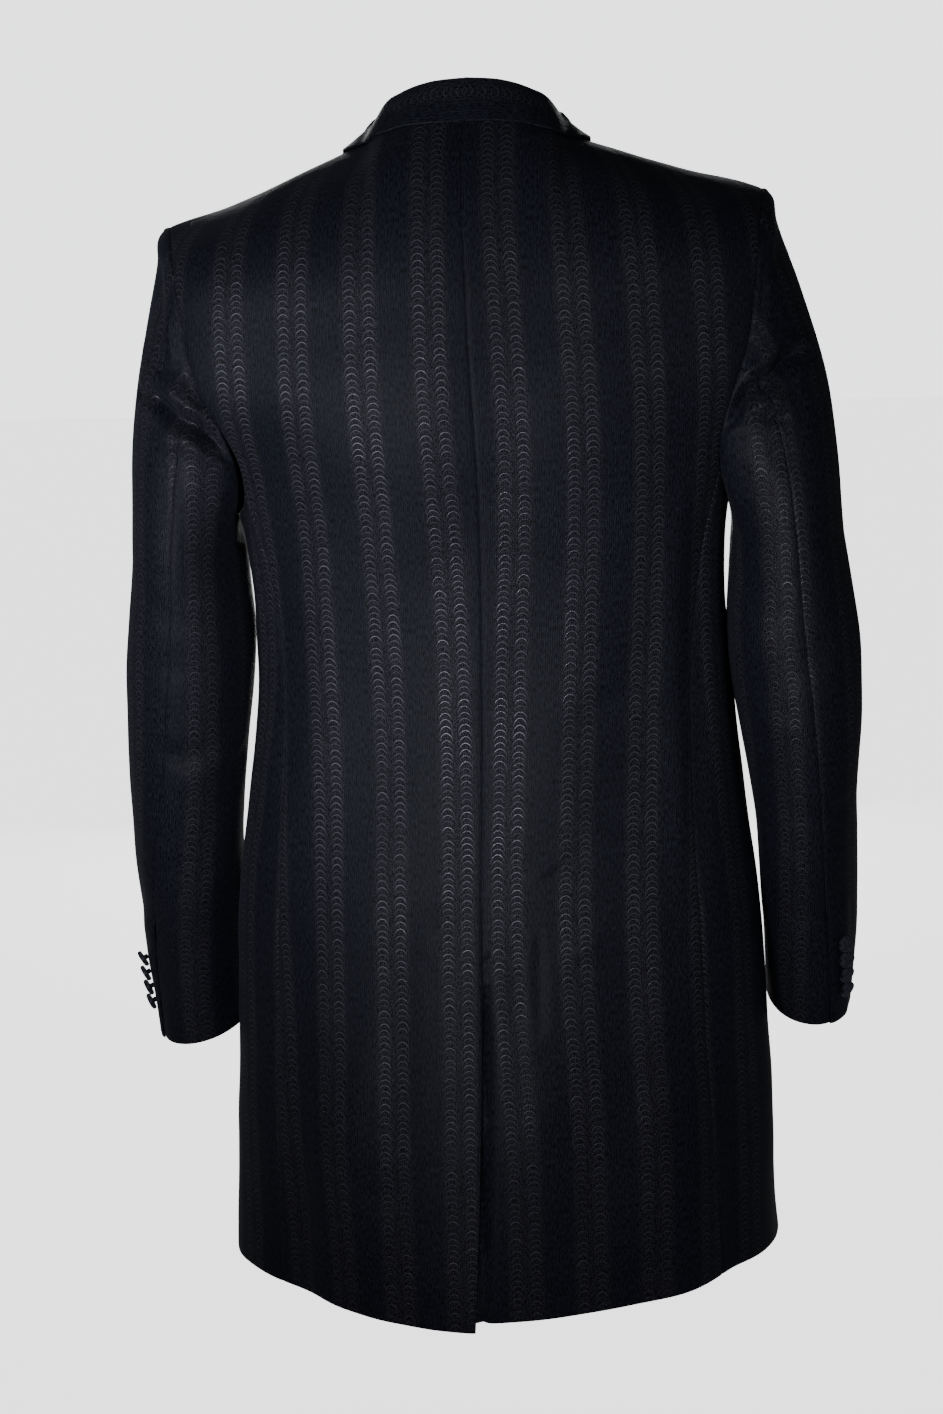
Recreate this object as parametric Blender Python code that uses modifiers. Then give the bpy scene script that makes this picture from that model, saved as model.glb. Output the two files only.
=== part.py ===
# Long blazer in its worn form, hollow, with nobody in it.
# Metres, +Z up. The front faces -Y and the wearer's left is +X.
# The origin is the middle of the neck opening, level with the back neck seam.
#
# Every panel is cut from one trunk surface. A place on it has two chart
# coordinates: theta, the angle round from the centre back (0) to the centre
# front (pi), and level, the height that the row has at the centre back.

from collections import namedtuple
from math import pi, radians

import bpy
import numpy as np
from mathutils import Matrix, Vector

# Driving sizes
WALL = 0.0016           # cloth with its interlining
COLLAR_WALL = 0.0022    # two layers of cloth
SEAM_GAP = 0.0003       # between neighbouring pieces
ARMHOLE_GAP = 0.0006    # wider, because the two edges bend with unlike facets
HEM = -0.927            # height of the hem at the centre back
YOKE = -0.140           # above this level the trunk closes over the shoulders
UNDERARM = -0.300       # lowest point of the armhole
NECK_HALF_WIDTH = 0.075
VENT_TOP = -0.632
VENT_RISE = VENT_TOP + 0.045    # where the left back starts to lift over the vent
VENT_UNDERLAP = 0.036   # how far the right back runs under the left
VENT_DRIFT = 0.011      # how far the left back's edge hangs off the centre at the hem
LAYER = WALL + 0.0009   # from one layer of cloth to the next
LAPEL_LAYERS = 0.0048   # a lapel under the left front lifts it by this much more
SETTLE = 0.040          # past an edge that it lies over, cloth settles in this width
BREAK = -0.400          # where the lapels meet, at the front button
FRONT_OVERLAP = 0.018   # each front past the centre front
CORNER_RADIUS = 0.075   # lower front corners
CUFF_VENT = 0.100       # length of the slit at the cuff
CUFF_UNDERLAP = 0.014
CUFF_BUTTON = 0.0140
CUFF_BUTTON_PITCH = 0.0147
LAST_BUTTON = 0.031     # from its middle to the end of the cuff
BUTTON_INSET = 0.015    # from the button's middle to the back seam
FRONT_BUTTON = 0.0200
BUTTON_BELOW_BREAK = 0.012
CLOTH_COLOUR = (0.016, 0.018, 0.030, 1.0)
COLLAR_COLOUR = (0.022, 0.024, 0.036, 1.0)
BUTTON_COLOUR = (0.020, 0.021, 0.032, 1.0)

# The trunk's rings from the hem up. Above the underarm the half width is that
# of the ring that the armhole cuts, so it is wider than the coat.
Ring = namedtuple("Ring", "z half_width side_y back front back_squareness front_squareness")
RINGS = (
    Ring(-0.932, 0.2215, -0.022, 0.142, 0.134, 1.80, 2.3),
    Ring(-0.850, 0.2185, -0.020, 0.138, 0.133, 1.90, 2.3),
    Ring(-0.750, 0.2140, -0.016, 0.131, 0.131, 2.05, 2.3),
    Ring(-0.630, 0.2085, -0.010, 0.120, 0.129, 2.20, 2.3),
    Ring(-0.520, 0.1965, -0.005, 0.102, 0.127, 2.25, 2.3),
    Ring(-0.420, 0.1840, -0.002, 0.093, 0.126, 2.30, 2.3),
    Ring(-0.350, 0.1845, 0.000, 0.099, 0.130, 2.30, 2.2),
    Ring(-0.300, 0.1920, 0.000, 0.108, 0.135, 2.30, 2.1),
    Ring(-0.260, 0.2060, 0.000, 0.115, 0.137, 2.30, 2.0),
    Ring(-0.205, 0.2440, 0.000, 0.119, 0.134, 2.30, 2.0),
    Ring(-0.140, 0.2500, 0.000, 0.117, 0.122, 2.30, 2.0),
)
HEM_LIFT = 0.018        # how much higher the hem hangs at the sides
HEM_LIFT_TOP = -0.600

# The neck seam and the shoulder seam, column by column from the centre out.
# The arrivals are the slopes, in degrees, at which back and front reach them.
Top = namedtuple("Top", "x back_y back_z front_y front_z back_arrival front_arrival")
TOPS = (
    Top(0.000, 0.062, 0.000, -0.072, -0.100, 63, 60),
    Top(0.030, 0.058, -0.002, -0.066, -0.088, 52, 60),
    Top(0.054, 0.045, -0.008, -0.048, -0.062, 25, 52),
    Top(0.069, 0.022, -0.0135, -0.026, -0.034, 8.4, 34),
    Top(0.075, -0.004, -0.018, -0.004, -0.018, 3, 22),
    Top(0.085, -0.006, -0.0225, -0.006, -0.0225, 2.3, 18),
    Top(0.105, -0.008, -0.031, -0.008, -0.031, 2, 15),
    Top(0.140, -0.009, -0.045, -0.009, -0.045, 3.2, 14),
    Top(0.180, -0.010, -0.058, -0.010, -0.058, 6, 12),
    Top(0.215, -0.010, -0.067, -0.010, -0.067, 8.5, 12),
    Top(0.250, -0.010, -0.080, -0.010, -0.080, 10, 12),
)
BACK_ROUND = 0.68       # how far back, as a share of its depth, the yoke bends over

# Distance of the armhole seam from the centre line, by level
Armhole = namedtuple("Armhole", "level back_x front_x")
ARMHOLE = (
    Armhole(-0.300, 0.192, 0.192),
    Armhole(-0.290, 0.186, 0.184),
    Armhole(-0.275, 0.183, 0.178),
    Armhole(-0.255, 0.184, 0.175),
    Armhole(-0.225, 0.194, 0.174),
    Armhole(-0.190, 0.208, 0.178),
    Armhole(-0.140, 0.217, 0.188),
    Armhole(-0.070, 0.224, 0.208),
    Armhole(0.000, 0.230, 0.230),
)

# Distance of the side body's two seams from the centre line, by height
SideSeam = namedtuple("SideSeam", "z back_x front_x")
SIDE_SEAMS = (
    SideSeam(-0.932, 0.178, 0.186),
    SideSeam(-0.750, 0.170, 0.182),
    SideSeam(-0.630, 0.165, 0.178),
    SideSeam(-0.520, 0.160, 0.170),
    SideSeam(-0.420, 0.159, 0.165),
    SideSeam(-0.340, 0.168, 0.170),
    SideSeam(-0.275, 0.183, 0.178),
)
SIDE_SEAM_TOP = -0.275

# The front's inner edge, by level: overlap, roll line, then neck seam
FrontEdge = namedtuple("FrontEdge", "level x")
FRONT_EDGES = (
    FrontEdge(-0.400, -0.018),
    FrontEdge(-0.300, 0.003),
    FrontEdge(-0.200, 0.024),
    FrontEdge(-0.140, 0.037),
    FrontEdge(-0.090, 0.047),
    FrontEdge(-0.045, 0.060),
    FrontEdge(0.000, 0.075),
)

# Soft folds that hang in the skirt: place round the coat in degrees from the
# centre back, on the wearer's left (+) or right (-), width in degrees, depth at
# the hem, and the height at which each one has died out
Fold = namedtuple("Fold", "side place width depth top")
FOLDS = (
    Fold(1, 24, 9, 0.0040, -0.52),
    Fold(1, 47, 8, -0.0040, -0.60),
    Fold(1, 74, 10, 0.0030, -0.56),
    Fold(1, 122, 12, -0.0035, -0.60),
    Fold(-1, 20, 8, -0.0030, -0.58),
    Fold(-1, 42, 9, 0.0060, -0.50),
    Fold(-1, 60, 7, -0.0045, -0.62),
    Fold(-1, 118, 12, -0.0030, -0.60),
)

# Sections of the sleeve below the armhole: its middle, its half width across
# and half depth from back to front, all square to the sleeve's own line
Section = namedtuple("Section", "z x y half_width half_depth")
SECTIONS = (
    Section(-0.335, 0.2375, 0.002, 0.0475, 0.0760),
    Section(-0.410, 0.2400, 0.004, 0.0525, 0.0700),
    Section(-0.490, 0.2455, 0.001, 0.0505, 0.0630),
    Section(-0.570, 0.2505, -0.014, 0.0445, 0.0585),
    Section(-0.650, 0.2510, -0.036, 0.0410, 0.0550),
    Section(-0.728, 0.2500, -0.062, 0.0390, 0.0520),
)

# Where the sleeve's two seams lie round it, in degrees from the outer side
SleeveSeam = namedtuple("SleeveSeam", "share back front")
SLEEVE_SEAMS = (
    SleeveSeam(0.00, 100, 262),
    SleeveSeam(0.25, 92, 250),
    SleeveSeam(0.55, 82, 246),
    SleeveSeam(0.80, 72, 244),
    SleeveSeam(1.00, 64, 244),
)

# The collar from the centre back to its lower end. Base and edge are places on
# the trunk; the fold stands off the base by rise, leaning by lean to the middle
# of the neck, and at the front it stands off the chest by rise alone.
CollarRow = namedtuple("CollarRow", "share base_level edge_x edge_level rise lean")
COLLAR_BACK = (
    CollarRow(0.000, 0.0, 0.0000, -0.0140, 0.0275, 0.006),
    CollarRow(0.400, 0.0, 0.0480, -0.0170, 0.0265, 0.008),
    CollarRow(0.600, 0.0, 0.0700, -0.0220, 0.0255, 0.009),
    CollarRow(0.750, 0.0, 0.0830, -0.0180, 0.0240, 0.010),
    CollarRow(0.875, 0.0, 0.0900, -0.0085, 0.0230, 0.011),
    CollarRow(1.000, 0.0, 0.0940, 0.0000, 0.0215, 0.012),
)
COLLAR_FRONT = (
    CollarRow(0.00, 0.000, 0.094, 0.000, 0.0215, 0.012),
    CollarRow(0.10, -0.045, 0.103, -0.045, 0.0170, 0.005),
    CollarRow(0.22, -0.090, 0.112, -0.095, 0.0120, 0.000),
    CollarRow(0.40, -0.165, 0.114, -0.170, 0.0080, 0.000),
    CollarRow(0.60, -0.240, 0.100, -0.250, 0.0060, 0.000),
    CollarRow(0.80, -0.315, 0.062, -0.325, 0.0042, 0.000),
    CollarRow(1.00, -0.385, 0.002, -0.388, 0.0030, 0.000),
)

LEFT = 1
RIGHT = -1
SIDE_NAME = {LEFT: "left", RIGHT: "right"}

# The pose: the wearer's left shoulder and arm hang a little lower, and the
# shoulders sit a little to the left of the hem and turned from it, in degrees
SHOULDER_DROP = 0.009
Sway = namedtuple("Sway", "z x turn")
SWAYS = (
    Sway(-0.932, 0.0015, 0.0),
    Sway(-0.750, 0.0020, 0.0),
    Sway(-0.600, 0.0010, 0.0),
    Sway(-0.450, -0.0005, 1.2),
    Sway(-0.300, 0.0015, 3.8),
    Sway(-0.150, 0.0080, 4.8),
    Sway(-0.060, 0.0090, 4.8),
    Sway(0.030, 0.0030, 3.0),
)
SLEEVE_TURN = {LEFT: -30.0, RIGHT: 2.0}     # degrees at the cuff
SLEEVE_RISE = {LEFT: 0.002, RIGHT: 0.021}   # how far the cuff is pushed up
CUFF_SLANT = {LEFT: 0.008, RIGHT: 0.002}    # how much lower its outer side is
# How much flatter than its sections the sleeve's outer side hangs
UPPER_FLAT = {LEFT: 0.0060, RIGHT: 0.0045}
LOWER_FLAT = {LEFT: 0.0010, RIGHT: 0.0085}
HEM_RAISE = {LEFT: 0.0, RIGHT: 0.008}


def column(rows, name):
    return np.array([getattr(row, name) for row in rows], float)


def curve_through(xs, ys, at):
    """Value at `at` on a smooth curve through the points (xs, ys)."""
    at = np.clip(np.asarray(at, float), xs[0], xs[-1])
    slopes = np.gradient(ys, xs)
    i = np.clip(np.searchsorted(xs, at, side="right") - 1, 0, len(xs) - 2)
    span = xs[i + 1] - xs[i]
    t = (at - xs[i]) / span
    rising = t * t * (3 - 2 * t)
    leaving = t * (1 - t) ** 2 * span * slopes[i]
    arriving = t * t * (t - 1) * span * slopes[i + 1]
    return ys[i] * (1 - rising) + ys[i + 1] * rising + leaving + arriving


def read(rows, key, name, at):
    return curve_through(column(rows, key), column(rows, name), at)


def soft_step(low, high, at):
    t = np.clip((np.asarray(at, float) - low) / (high - low), 0, 1)
    return t * t * (3 - 2 * t)


def unit(vectors):
    return vectors / np.maximum(np.linalg.norm(vectors, axis=-1, keepdims=True), 1e-12)


# The trunk surface


def ring_point(theta, z):
    """Point of the trunk's ring at height z, on the wearer's left."""
    half_width = read(RINGS, "z", "half_width", z)
    behind = np.cos(theta) > 0
    depth = np.where(behind, read(RINGS, "z", "back", z), read(RINGS, "z", "front", z))
    squareness = np.where(
        behind,
        read(RINGS, "z", "back_squareness", z),
        read(RINGS, "z", "front_squareness", z),
    )
    across, along = np.sin(theta), np.cos(theta)
    x = half_width * np.sign(across) * np.abs(across) ** (2 / squareness)
    y = depth * np.sign(along) * np.abs(along) ** (2 / squareness)
    y = y + read(RINGS, "z", "side_y", z) * across**2
    z = z + HEM_LIFT * across**2 * (1 - soft_step(HEM, HEM_LIFT_TOP, z))
    return np.stack(np.broadcast_arrays(x, y, z), axis=-1)


def yoke_point(theta, level):
    """Point above the yoke level, on a column that bends in to the neck or shoulder seam."""
    start = ring_point(theta, np.full_like(theta, YOKE))
    x = np.abs(start[..., 0])
    behind = np.cos(theta) > 0
    end_y = np.where(behind, read(TOPS, "x", "back_y", x), read(TOPS, "x", "front_y", x))
    end_z = np.where(behind, read(TOPS, "x", "back_z", x), read(TOPS, "x", "front_z", x))
    slope = np.radians(
        np.where(
            behind, read(TOPS, "x", "back_arrival", x), read(TOPS, "x", "front_arrival", x)
        )
    )
    end = np.stack([start[..., 0], end_y, end_z], axis=-1)
    height = end_z - YOKE
    depth = np.abs(end_y - start[..., 1])
    inward = np.where(behind, -1.0, 1.0)
    reach = np.where(
        behind,
        (BACK_ROUND * start[..., 1] - end_y) / np.cos(slope),
        (0.30 + 0.25 * np.cos(slope)) * (0.5 * height + 0.5 * depth),
    )
    lift = start + np.stack([0 * x, 0 * x, 0.52 * height], axis=-1)
    settle = end - np.stack(
        [0 * x, inward * np.cos(slope) * reach, np.sin(slope) * reach], axis=-1
    )
    t = np.clip((level - YOKE) / -YOKE, 0, 1)[..., None]
    return (
        start * (1 - t) ** 3
        + lift * 3 * t * (1 - t) ** 2
        + settle * 3 * t**2 * (1 - t)
        + end * t**3
    )


def plain_trunk(theta, level):
    theta, level = np.broadcast_arrays(np.asarray(theta, float), np.asarray(level, float))
    low = ring_point(theta, np.minimum(level, YOKE))
    high = yoke_point(theta, level)
    return np.where((level > YOKE)[..., None], high, low)


def angle_at(x, level, front=False):
    """The theta at which the trunk's row at this level is x from the centre line."""
    z = np.minimum(level, YOKE)
    name = "front_squareness" if front else "back_squareness"
    ratio = np.asarray(x, float) / read(RINGS, "z", "half_width", z)
    ratio = np.clip(ratio, -1, 1)
    angle = np.arcsin(np.sign(ratio) * np.abs(ratio) ** (read(RINGS, "z", name, z) / 2))
    return pi - angle if front else angle


def stand_off(side, theta, level, point):
    """How far the cloth lies outside (+) or inside (-) the plain trunk."""
    x = point[..., 0]
    off = np.zeros_like(x)
    hem_to_top = lambda top: 1 - soft_step(HEM, top, level)
    for fold in FOLDS:
        if fold.side == side:
            turn = (np.degrees(theta) - fold.place) / fold.width
            off = off + fold.depth * np.exp(-turn * turn) * hem_to_top(fold.top)
    if side == LEFT:
        # The left front lies over the right front and, at the break, over its lapel.
        near_edge = 1 - soft_step(FRONT_OVERLAP + 0.006, FRONT_OVERLAP + SETTLE, x)
        over_lapel = soft_step(BREAK - 0.10, BREAK - 0.03, level)
        height = LAYER + LAPEL_LAYERS * over_lapel
        height = height * (1 - soft_step(BREAK + 0.15, BREAK + 0.22, level))
        off = off + np.where(theta > pi / 2, near_edge * height, 0)
        # The left back lies over the right one's underlap below the top of the vent.
        over_vent = 1 - soft_step(VENT_UNDERLAP + 0.004, VENT_UNDERLAP + SETTLE, x)
        over_vent = over_vent * (1 - soft_step(VENT_TOP, VENT_RISE, level))
        off = off + np.where(theta < pi / 4, over_vent * LAYER, 0)
    return off


def trunk_normal(theta, level, surface):
    step = 1e-4
    round_way = surface(theta + step, level) - surface(theta - step, level)
    up_way = surface(theta, np.minimum(level + step, 0)) - surface(theta, level - step)
    return unit(np.cross(up_way, round_way))


def pose(points):
    """Move points of the straight coat to where they are in the worn pose."""
    x, y, z = points[..., 0], points[..., 1], points[..., 2]
    outward = soft_step(0.05, 0.22, np.abs(x)) * np.sign(x)
    above_waist = soft_step(-0.42, -0.16, z)
    on_sleeve = soft_step(0.195, 0.235, np.abs(x)) * soft_step(-0.40, -0.20, z)
    drop = SHOULDER_DROP * outward * np.maximum(above_waist, on_sleeve)
    turn = np.radians(read(SWAYS, "z", "turn", z))
    return np.stack(
        [
            x * np.cos(turn) - y * np.sin(turn) + read(SWAYS, "z", "x", z),
            x * np.sin(turn) + y * np.cos(turn),
            z - drop,
        ],
        axis=-1,
    )


def coat(side, theta, level, out=0.0):
    """Point of the coat on one side, `out` metres outside its outer face, and its normal."""
    theta, level = np.broadcast_arrays(np.asarray(theta, float), np.asarray(level, float))

    def surface(theta, level):
        base = plain_trunk(theta, level)
        normal = trunk_normal(theta, level, plain_trunk)
        raised = HEM_RAISE[side] * (1 - soft_step(HEM, HEM_LIFT_TOP, level))
        base[..., 2] += raised
        return base + normal * stand_off(side, theta, level, base)[..., None]

    normal = trunk_normal(theta, level, surface)
    mirror = np.array([side, 1.0, 1.0])
    return (surface(theta, level) + normal * out) * mirror, normal * mirror


# Grids and walls


def even_rows(side, theta, level):
    """Move the columns of a chart grid so that each row has equal steps on the cloth."""
    points, _ = coat(side, theta, level)
    steps = np.linalg.norm(np.diff(points, axis=1), axis=2)
    length = np.concatenate([np.zeros((len(theta), 1)), np.cumsum(steps, axis=1)], axis=1)
    return length / length[:, -1:]


def chart_grid(side, start, end, level, columns):
    """Chart coordinates of a panel, from theta `start` to `end` on each row's level."""
    fine = np.linspace(0, 1, 160)
    theta = start[:, None] + (end - start)[:, None] * fine
    level = np.broadcast_to(level[:, None], theta.shape)
    share = even_rows(side, theta, level)
    wanted = np.linspace(0, 1, columns)
    theta = np.array([np.interp(wanted, s, t) for s, t in zip(share, theta)])
    return theta, np.repeat(level[:, :1], columns, axis=1)


def joined_grids(first, second):
    """Two chart grids side by side, which share the column between them."""
    return tuple(np.concatenate([a, b[:, 1:]], axis=1) for a, b in zip(first, second))


def draw_in(points, amounts):
    """Pull the four borders of a grid in by half a seam gap where amounts says so."""
    first_row, last_row, first_column, last_column = amounts
    drawn = points.copy()
    half = SEAM_GAP / 2
    if first_row:
        drawn[0] += unit(points[1] - points[0]) * half * first_row
    if last_row:
        drawn[-1] += unit(points[-2] - points[-1]) * half * last_row
    if first_column:
        drawn[:, 0] += unit(points[:, 1] - points[:, 0]) * half * first_column
    if last_column:
        drawn[:, -1] += unit(points[:, -2] - points[:, -1]) * half * last_column
    return drawn


def wall(name, outer, inner, material):
    """A closed wall between two grids of points, as a mesh object."""
    rows, columns = outer.shape[:2]
    vertices = np.concatenate([outer.reshape(-1, 3), inner.reshape(-1, 3)])
    index = np.arange(rows * columns).reshape(rows, columns)
    inside = index + rows * columns

    def strip(a, b):
        return np.stack([a[:-1], a[1:], b[1:], b[:-1]], axis=-1)

    faces = [
        np.stack([index[:-1, :-1], index[:-1, 1:], index[1:, 1:], index[1:, :-1]], -1),
        np.stack([inside[:-1, :-1], inside[1:, :-1], inside[1:, 1:], inside[:-1, 1:]], -1),
        strip(index[0, ::-1], inside[0, ::-1]),
        strip(index[-1], inside[-1]),
        strip(index[:, 0], inside[:, 0]),
        strip(index[::-1, -1], inside[::-1, -1]),
    ]
    faces = np.concatenate([face.reshape(-1, 4) for face in faces])
    mesh = bpy.data.meshes.new(name)
    mesh.from_pydata(vertices.tolist(), [], faces.tolist())
    mesh.validate()
    corners = vertices[faces[:, :3]]
    volume = np.einsum(
        "ij,ij->i", corners[:, 0], np.cross(corners[:, 1], corners[:, 2])
    ).sum()
    corners = vertices[faces[:, [0, 2, 3]]]
    volume += np.einsum(
        "ij,ij->i", corners[:, 0], np.cross(corners[:, 1], corners[:, 2])
    ).sum()
    if volume < 0:
        mesh.flip_normals()
    mesh.materials.append(material)
    mesh.shade_smooth()
    mesh.set_sharp_from_angle(angle=radians(40))
    made = bpy.data.objects.new(name, mesh)
    parts.objects.link(made)
    return made


def panel(name, side, theta, level, seams, material):
    """A wall under the coat's outer face, with half a seam gap at the named borders."""
    outer, normal = coat(side, theta, level)
    at_shoulder = level[-1] == 0
    if at_shoulder.any():
        # Back and front share one mitred edge along the shoulder seam.
        x = np.abs(outer[-1, :, 0])
        is_back = theta[-1] < pi / 2
        twin = np.where(is_back, angle_at(x, 0.0, True), angle_at(x, 0.0, False))
        _, twin_normal = coat(side, twin, level[-1])
        beyond_neck = x > NECK_HALF_WIDTH - 1e-6
        mitre = unit(normal[-1] + twin_normal)
        normal[-1] = np.where((at_shoulder & beyond_neck)[:, None], mitre, normal[-1])
    outer = draw_in(outer, seams)
    inner = outer - normal * WALL
    return wall(name, pose(outer), pose(inner), material)


def side_seam(level, front):
    """Chart angle of a side seam, and above its top that of the armhole."""
    name = "front_x" if front else "back_x"
    x = np.where(
        level < SIDE_SEAM_TOP,
        read(SIDE_SEAMS, "z", name, level),
        read(ARMHOLE, "level", name, level),
    )
    return angle_at(x, level, front)


FRONT_COLUMNS = 11
SIDE_COLUMNS = 9
UPPER_ROWS = 13         # of back and front, above the side seams

# Levels of the rows that back, side body and front share along their seams
SEAM_LEVELS = np.concatenate(
    [
        np.linspace(HEM, VENT_TOP - 0.030, 5),
        np.linspace(VENT_TOP, VENT_RISE, 2),
        np.linspace(VENT_RISE, SIDE_SEAM_TOP, 9)[1:],
    ]
)


def upper_levels(rows):
    """Levels of the rows above the side seams, closest together at the shoulder."""
    return SIDE_SEAM_TOP * (1 - np.linspace(0, 1, rows + 1)[1:]) ** 1.35


def make_back(side):
    level = np.concatenate([SEAM_LEVELS, upper_levels(UPPER_ROWS)])
    if side == LEFT:
        drift = np.clip((VENT_TOP - level) / (VENT_TOP - HEM), 0, 1) ** 2
        start = angle_at(VENT_DRIFT * drift, level)
    else:
        reach = VENT_UNDERLAP * (1 - soft_step(VENT_TOP - 0.030, VENT_TOP, level))
        start = angle_at(-reach, level)
    # One column runs down from the point where neck seam and shoulder seam meet.
    neck = angle_at(NECK_HALF_WIDTH, level)
    end = side_seam(level, front=False)
    # From there out it has as many columns as the front, whose shoulder edge it meets.
    theta, level = joined_grids(
        chart_grid(side, start, neck, level, 5),
        chart_grid(side, neck, end, level, FRONT_COLUMNS),
    )
    return panel("back_" + SIDE_NAME[side], side, theta, level, (0, 1, 1, 1), cloth)


def front_edge(level):
    """Distance of the front's inner edge from the centre line, past it where negative."""
    x = np.where(level < BREAK, -FRONT_OVERLAP, read(FRONT_EDGES, "level", "x", level))
    rise = np.clip((level - HEM) / CORNER_RADIUS, 0, 1)
    return x + CORNER_RADIUS * (1 - np.sqrt(1 - (1 - rise) ** 2))


def make_front(side):
    corner = HEM + CORNER_RADIUS * (1 - np.cos(np.linspace(0, pi / 2, 5)))
    above = SEAM_LEVELS[SEAM_LEVELS > corner[-1] + 0.01]
    level = np.concatenate([corner, above, upper_levels(UPPER_ROWS)])
    start = side_seam(level, front=True)
    end = angle_at(front_edge(level), level, front=True)
    theta, level = chart_grid(side, start, end, level, FRONT_COLUMNS)
    return panel("front_" + SIDE_NAME[side], side, theta, level, (0, 1, 1, 0), cloth)


def armhole_curve(top, count):
    """Chart coordinates of `count` even steps round the armhole, below level `top`."""
    fine = (1 - np.cos(np.linspace(0, pi, 400))) / 2
    down = top + (UNDERARM - top) * fine
    back = angle_at(read(ARMHOLE, "level", "back_x", down), down, False)
    up = down[::-1][1:]
    front = angle_at(read(ARMHOLE, "level", "front_x", up), up, True)
    theta = np.concatenate([back, front])
    level = np.concatenate([down, up])
    points = plain_trunk(theta, level)
    length = np.concatenate([[0], np.cumsum(np.linalg.norm(np.diff(points, axis=0), axis=1))])
    wanted = np.linspace(0, length[-1], count)
    return np.interp(wanted, length, theta), np.interp(wanted, length, level)


def make_side(side):
    top_theta, top_level = armhole_curve(SIDE_SEAM_TOP, SIDE_COLUMNS)
    share = np.linspace(0, 1, SIDE_COLUMNS)
    level = SEAM_LEVELS[:, None]
    up = (level - HEM) / (SIDE_SEAM_TOP - HEM)
    level = level + (top_level - SIDE_SEAM_TOP) * up**6
    start = side_seam(np.minimum(level, SIDE_SEAM_TOP), False)
    end = side_seam(np.minimum(level, SIDE_SEAM_TOP), True)
    theta = start + (end - start) * share
    theta = theta + (top_theta - theta[-1]) * up**6
    return panel("side_body_" + SIDE_NAME[side], side, theta, level, (0, 1, 1, 1), cloth)


def armhole_loop(count):
    """Points and normals round the armhole, on the straight edges that the panels have."""
    rows = np.concatenate([[SIDE_SEAM_TOP], upper_levels(UPPER_ROWS)])[::-1]
    low_theta, low_level = armhole_curve(SIDE_SEAM_TOP, SIDE_COLUMNS)
    theta = np.concatenate(
        [side_seam(rows, False), low_theta[1:-1], side_seam(rows[::-1], True)]
    )
    level = np.concatenate([rows, low_level[1:-1], rows[::-1]])
    corners, normals = coat(LEFT, theta, level)
    length = np.concatenate([[0], np.cumsum(np.linalg.norm(np.diff(corners, axis=0), axis=1))])
    wanted = np.linspace(0, length[-1], count + 1)[:-1]

    def along(values):
        return np.stack([np.interp(wanted, length, part) for part in values.T], axis=-1)

    return along(corners), unit(along(normals))


# Sleeves


def sleeve_frame(z):
    """Middle of the sleeve at height z, the way down it, and the ways out and back."""
    middle = np.stack(
        [read(SECTIONS, "z", "x", z), read(SECTIONS, "z", "y", z), z], axis=-1
    )
    step = 0.004
    top, bottom = column(SECTIONS, "z")[[-1, 0]]
    above, below = np.minimum(z + step, top), np.maximum(z - step, bottom)
    down = unit(
        np.stack(
            [
                read(SECTIONS, "z", "x", below) - read(SECTIONS, "z", "x", above),
                read(SECTIONS, "z", "y", below) - read(SECTIONS, "z", "y", above),
                below - above,
            ],
            axis=-1,
        )
    )
    out = np.array([1.0, 0, 0]) - down * down[..., :1]
    out = unit(out)
    back = np.cross(out, down)
    return middle, down, out, back


def tube_row(z, turn):
    """Points of the sleeve's section at height z, at the given turns round it."""
    middle, down, out, back = sleeve_frame(np.asarray(z, float))
    wide = read(SECTIONS, "z", "half_width", z)
    deep = read(SECTIONS, "z", "half_depth", z)
    return (
        middle
        + out * (wide * np.cos(turn))[..., None]
        + back * (deep * np.sin(turn))[..., None]
    ), down


SECTIONS = tuple(sorted(SECTIONS))
CAP_END = SECTIONS[-1].z
CUFF = SECTIONS[0].z
ARMHOLE_LOOP, ARMHOLE_NORMALS = armhole_loop(720)
UNDERARM_BEND = 165     # degrees that the under sleeve turns down by at the underarm
CAP_ROUND = 0.016       # how far the sleeve runs on past the armhole before it falls
CAP_ROUND_SIDES = 0.010


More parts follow.
